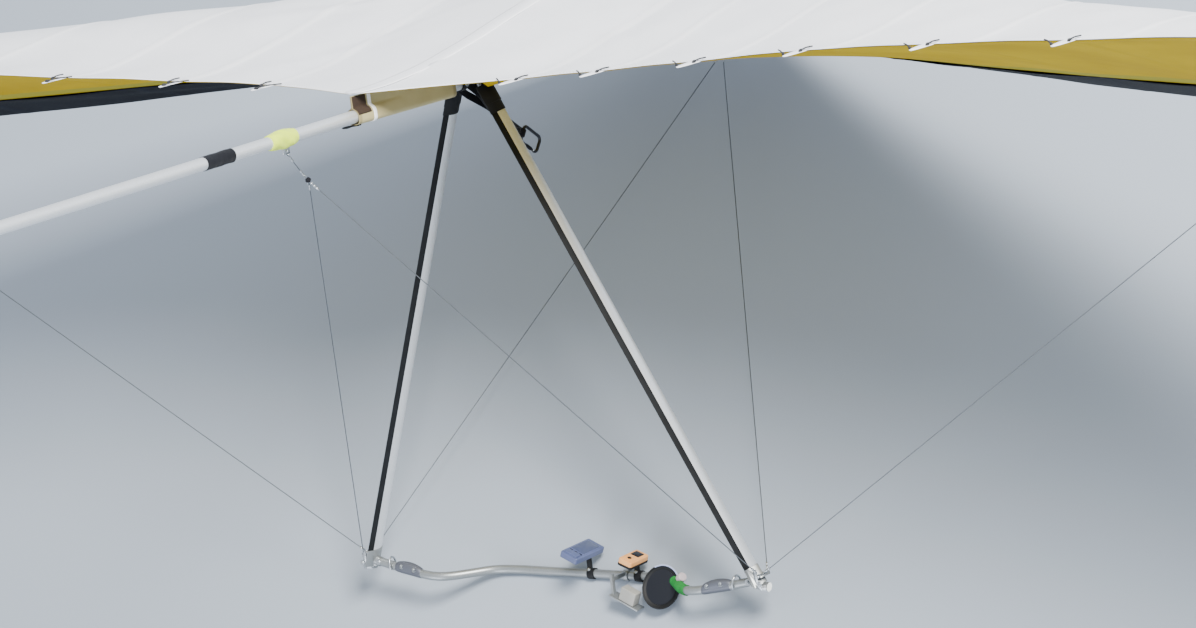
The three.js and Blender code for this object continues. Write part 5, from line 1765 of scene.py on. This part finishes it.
# %% [markdown]
# ## Instruments on the base bar
#
# Three instruments sit on the bar, and no two are alike: a flat blue-grey display, a small
# orange logger, and a black pod with a strip of metal beside it that carries a pale box.
# The two flat ones get a glass, a frame round it and keys.

# %% Flat instruments
def slab_place(centre, roll):
    """The frame of an instrument: X across, Y along, Z out of its face, from its middle."""
    return Matrix.Translation(centre) @ Matrix.Rotation(math.radians(-roll), 4, "Y")


def rounded_plate(name, width, length, height, corner, place, material, bevel=0.8):
    """A plate with round corners and broken edges, standing on the X-Y plane of its place."""
    outline = []
    for cx, cy, start in ((1, 1, 0), (-1, 1, 90), (-1, -1, 180), (1, -1, 270)):
        for a in np.radians(np.linspace(start, start + 90, 7)):
            outline.append((cx * (width / 2 - corner) + corner * math.cos(a),
                            cy * (length / 2 - corner) + corner * math.sin(a)))
    outline = np.array(outline)
    rings = []
    for z, inset in ((0, 0), (height - bevel, 0), (height - bevel * 0.3, bevel * 0.3), (height, bevel)):
        shrunk = outline * (1 - 2 * inset / np.array([width, length]))
        rings.append(np.column_stack([shrunk, np.full(len(shrunk), z)]))
    mesh = ringed(name, np.array(rings))
    mesh.transform(place)
    return finished(mesh, material)


def raised_by(place, x, y, z):
    """A frame shifted along its own axes."""
    return place @ Matrix.Translation((x, y, z))


display_at = slab_place((-27, -205, -1528), 24)
display_parts = [
    rounded_plate("bezel", 56, 96, 1.6, 6, raised_by(display_at, 0, -14, 10), blue_grey_abs),
    rounded_plate("glass", 48, 86, 1.0, 3, raised_by(display_at, 0, -14, 11.3), liquid_crystal, 0.4),
    rounded_plate("raised_end", 50, 26, 5.0, 5, raised_by(display_at, 0, 56, 10), blue_grey_abs, 1.6),
]
display_parts += [rounded_plate("key", 11, 8, 2.0, 3, raised_by(display_at, x, 38, 10), black_nylon)
                  for x in (-18, 0, 18)]
refined("display_box", blue_grey_abs, 2.6, 4, display_parts)

logger_at = slab_place((-221, -205, -1545), 21)
logger_parts = [
    rounded_plate("lid", 44, 90, 2.2, 7, raised_by(logger_at, 0, 0, 11), orange_abs, 1.2),
    rounded_plate("window", 30, 34, 0.9, 3, raised_by(logger_at, 0, -18, 13.1), dark_glass, 0.4),
    rounded_plate("key", 13, 13, 1.8, 6, raised_by(logger_at, 0, 24, 13.1), black_nylon),
    rounded_plate("base", 52, 100, 7.5, 9, raised_by(logger_at, 0, 0, -11.6), black_nylon, 1.0),
]
refined("logger_unit", orange_abs, 2.2, 4, logger_parts)
for node, x in (("display_clamp", -30), ("logger_clamp", -212)):
    clamp_screws = bolts([(x, -222, -1590)], [(0, 0.6, 0.8)], 4.0, 3.0)
    refined(node, black_nylon, 1.0, 2, [clamp_screws])

# %% Shelf and pale box
shelf_bolts = bolts([(-158.6, -192, -1599), (-158.6, -162, -1610)], [(1, 0, 0), (1, 0, 0)], 3.6, 2.6)
refined("pod_bracket", darker_grey, 0.9, 2, [shelf_bolts])
refined("shelf_box", pale_abs, 3.0, 4)

# %% [markdown]
# The pod is half an egg of black plastic, and its flat face looks back and up. A black rim
# runs round the face, with a dark glass inside it. A pale blue arc on the upper part of the rim
# is a painted highlight, where the light catches it. A rose-grey knob stands on a stem at its side.

# %% Pod
POD_CENTRE, POD_SIZE = (-333.0, -180.0, -1620.0), (61.0, 36.0, 69.0)
POD_SIDES = 64
HIGHLIGHT_SHARE, HIGHLIGHT_DEGREES = 0.985, (60, 175)
KNOB_FROM, KNOB_TO, STEM_FROM = (-410, -178, -1590), (-424, -172, -1582), (-378, -188, -1604)
pod_facing = Vector((-0.25, 0.85, 0.45)).normalized()
pod_across = (Vector((1, 0, 0)) - pod_facing * pod_facing.x).normalized()
pod_up = pod_across.cross(pod_facing)
POD_FRAME = Matrix((pod_across, pod_facing, pod_up)).transposed().to_4x4()
POD_FRAME.translation = Vector(POD_CENTRE)


def pod_ring(share, depth, angles=np.linspace(0, 2 * math.pi, POD_SIDES, endpoint=False)):
    """Points round the face, at a share of its size and a depth along the way it looks."""
    return np.array([POD_FRAME @ Vector((POD_SIZE[0] * share * math.cos(a), depth,
                                         POD_SIZE[2] * share * math.sin(a))) for a in angles])


steps = np.linspace(0.06, math.pi / 2, 18)
bowl_rings = [(math.sin(a), -POD_SIZE[1] * math.cos(a)) for a in steps]
bowl_rings += [(0.95, 0.0), (0.9, -2.2), (0.4, -2.6)]
rim_rings = [(0.93, -0.5), (0.94, 1.6), (0.98, 2.4), (1.01, 1.2), (1.015, -3.0), (0.99, -4.0)]
glass_rings = [(0.8, -2.0), (0.8, -1.2), (0.76, -0.9)]
bowl = finished(ringed("pod_bowl", np.array([pod_ring(*ring) for ring in bowl_rings])), black_nylon)
rim = finished(ringed("pod_rim", np.array([pod_ring(*ring) for ring in rim_rings]), hollow=True), black_nylon)
glass = finished(ringed("pod_glass", np.array([pod_ring(*ring) for ring in glass_rings])), dark_glass)
# Painted highlight: a pale blue arc on the upper part of the rim stands for the light caught there.
highlight_path = pod_ring(HIGHLIGHT_SHARE, 2.0, np.radians(np.linspace(*HIGHLIGHT_DEGREES, 40)))
painted_highlight = tube(highlight_path, 2.6, painted_highlight_abs, 16)
knob_profile = [(0, 13.0), (1.5, 14.5), (17, 14.8), (21, 13.0), (22, 9.0)]
knob = finished(turned("pod_knob", knob_profile, KNOB_FROM, KNOB_TO, 36), rose_plastic)
knob_stem = finished(turned("pod_knob_stem", [(0, 6.0), (40, 6.0)], STEM_FROM, KNOB_FROM, 24), black_nylon)
new_piece("pod_moulded", joined("pod", bowl, rim, painted_highlight, glass, knob, knob_stem), None,
          stands_for=("instrument_pod",))

# %% [markdown]
# ## Wing tips
#
# At each tip the end of the leading edge tube looks out of the sail.

# %% Ends of the leading edge tubes
for label in ("left", "right"):
    refined(f"leading_edge_end_{label}", clear_anodised, 1.6, 3)
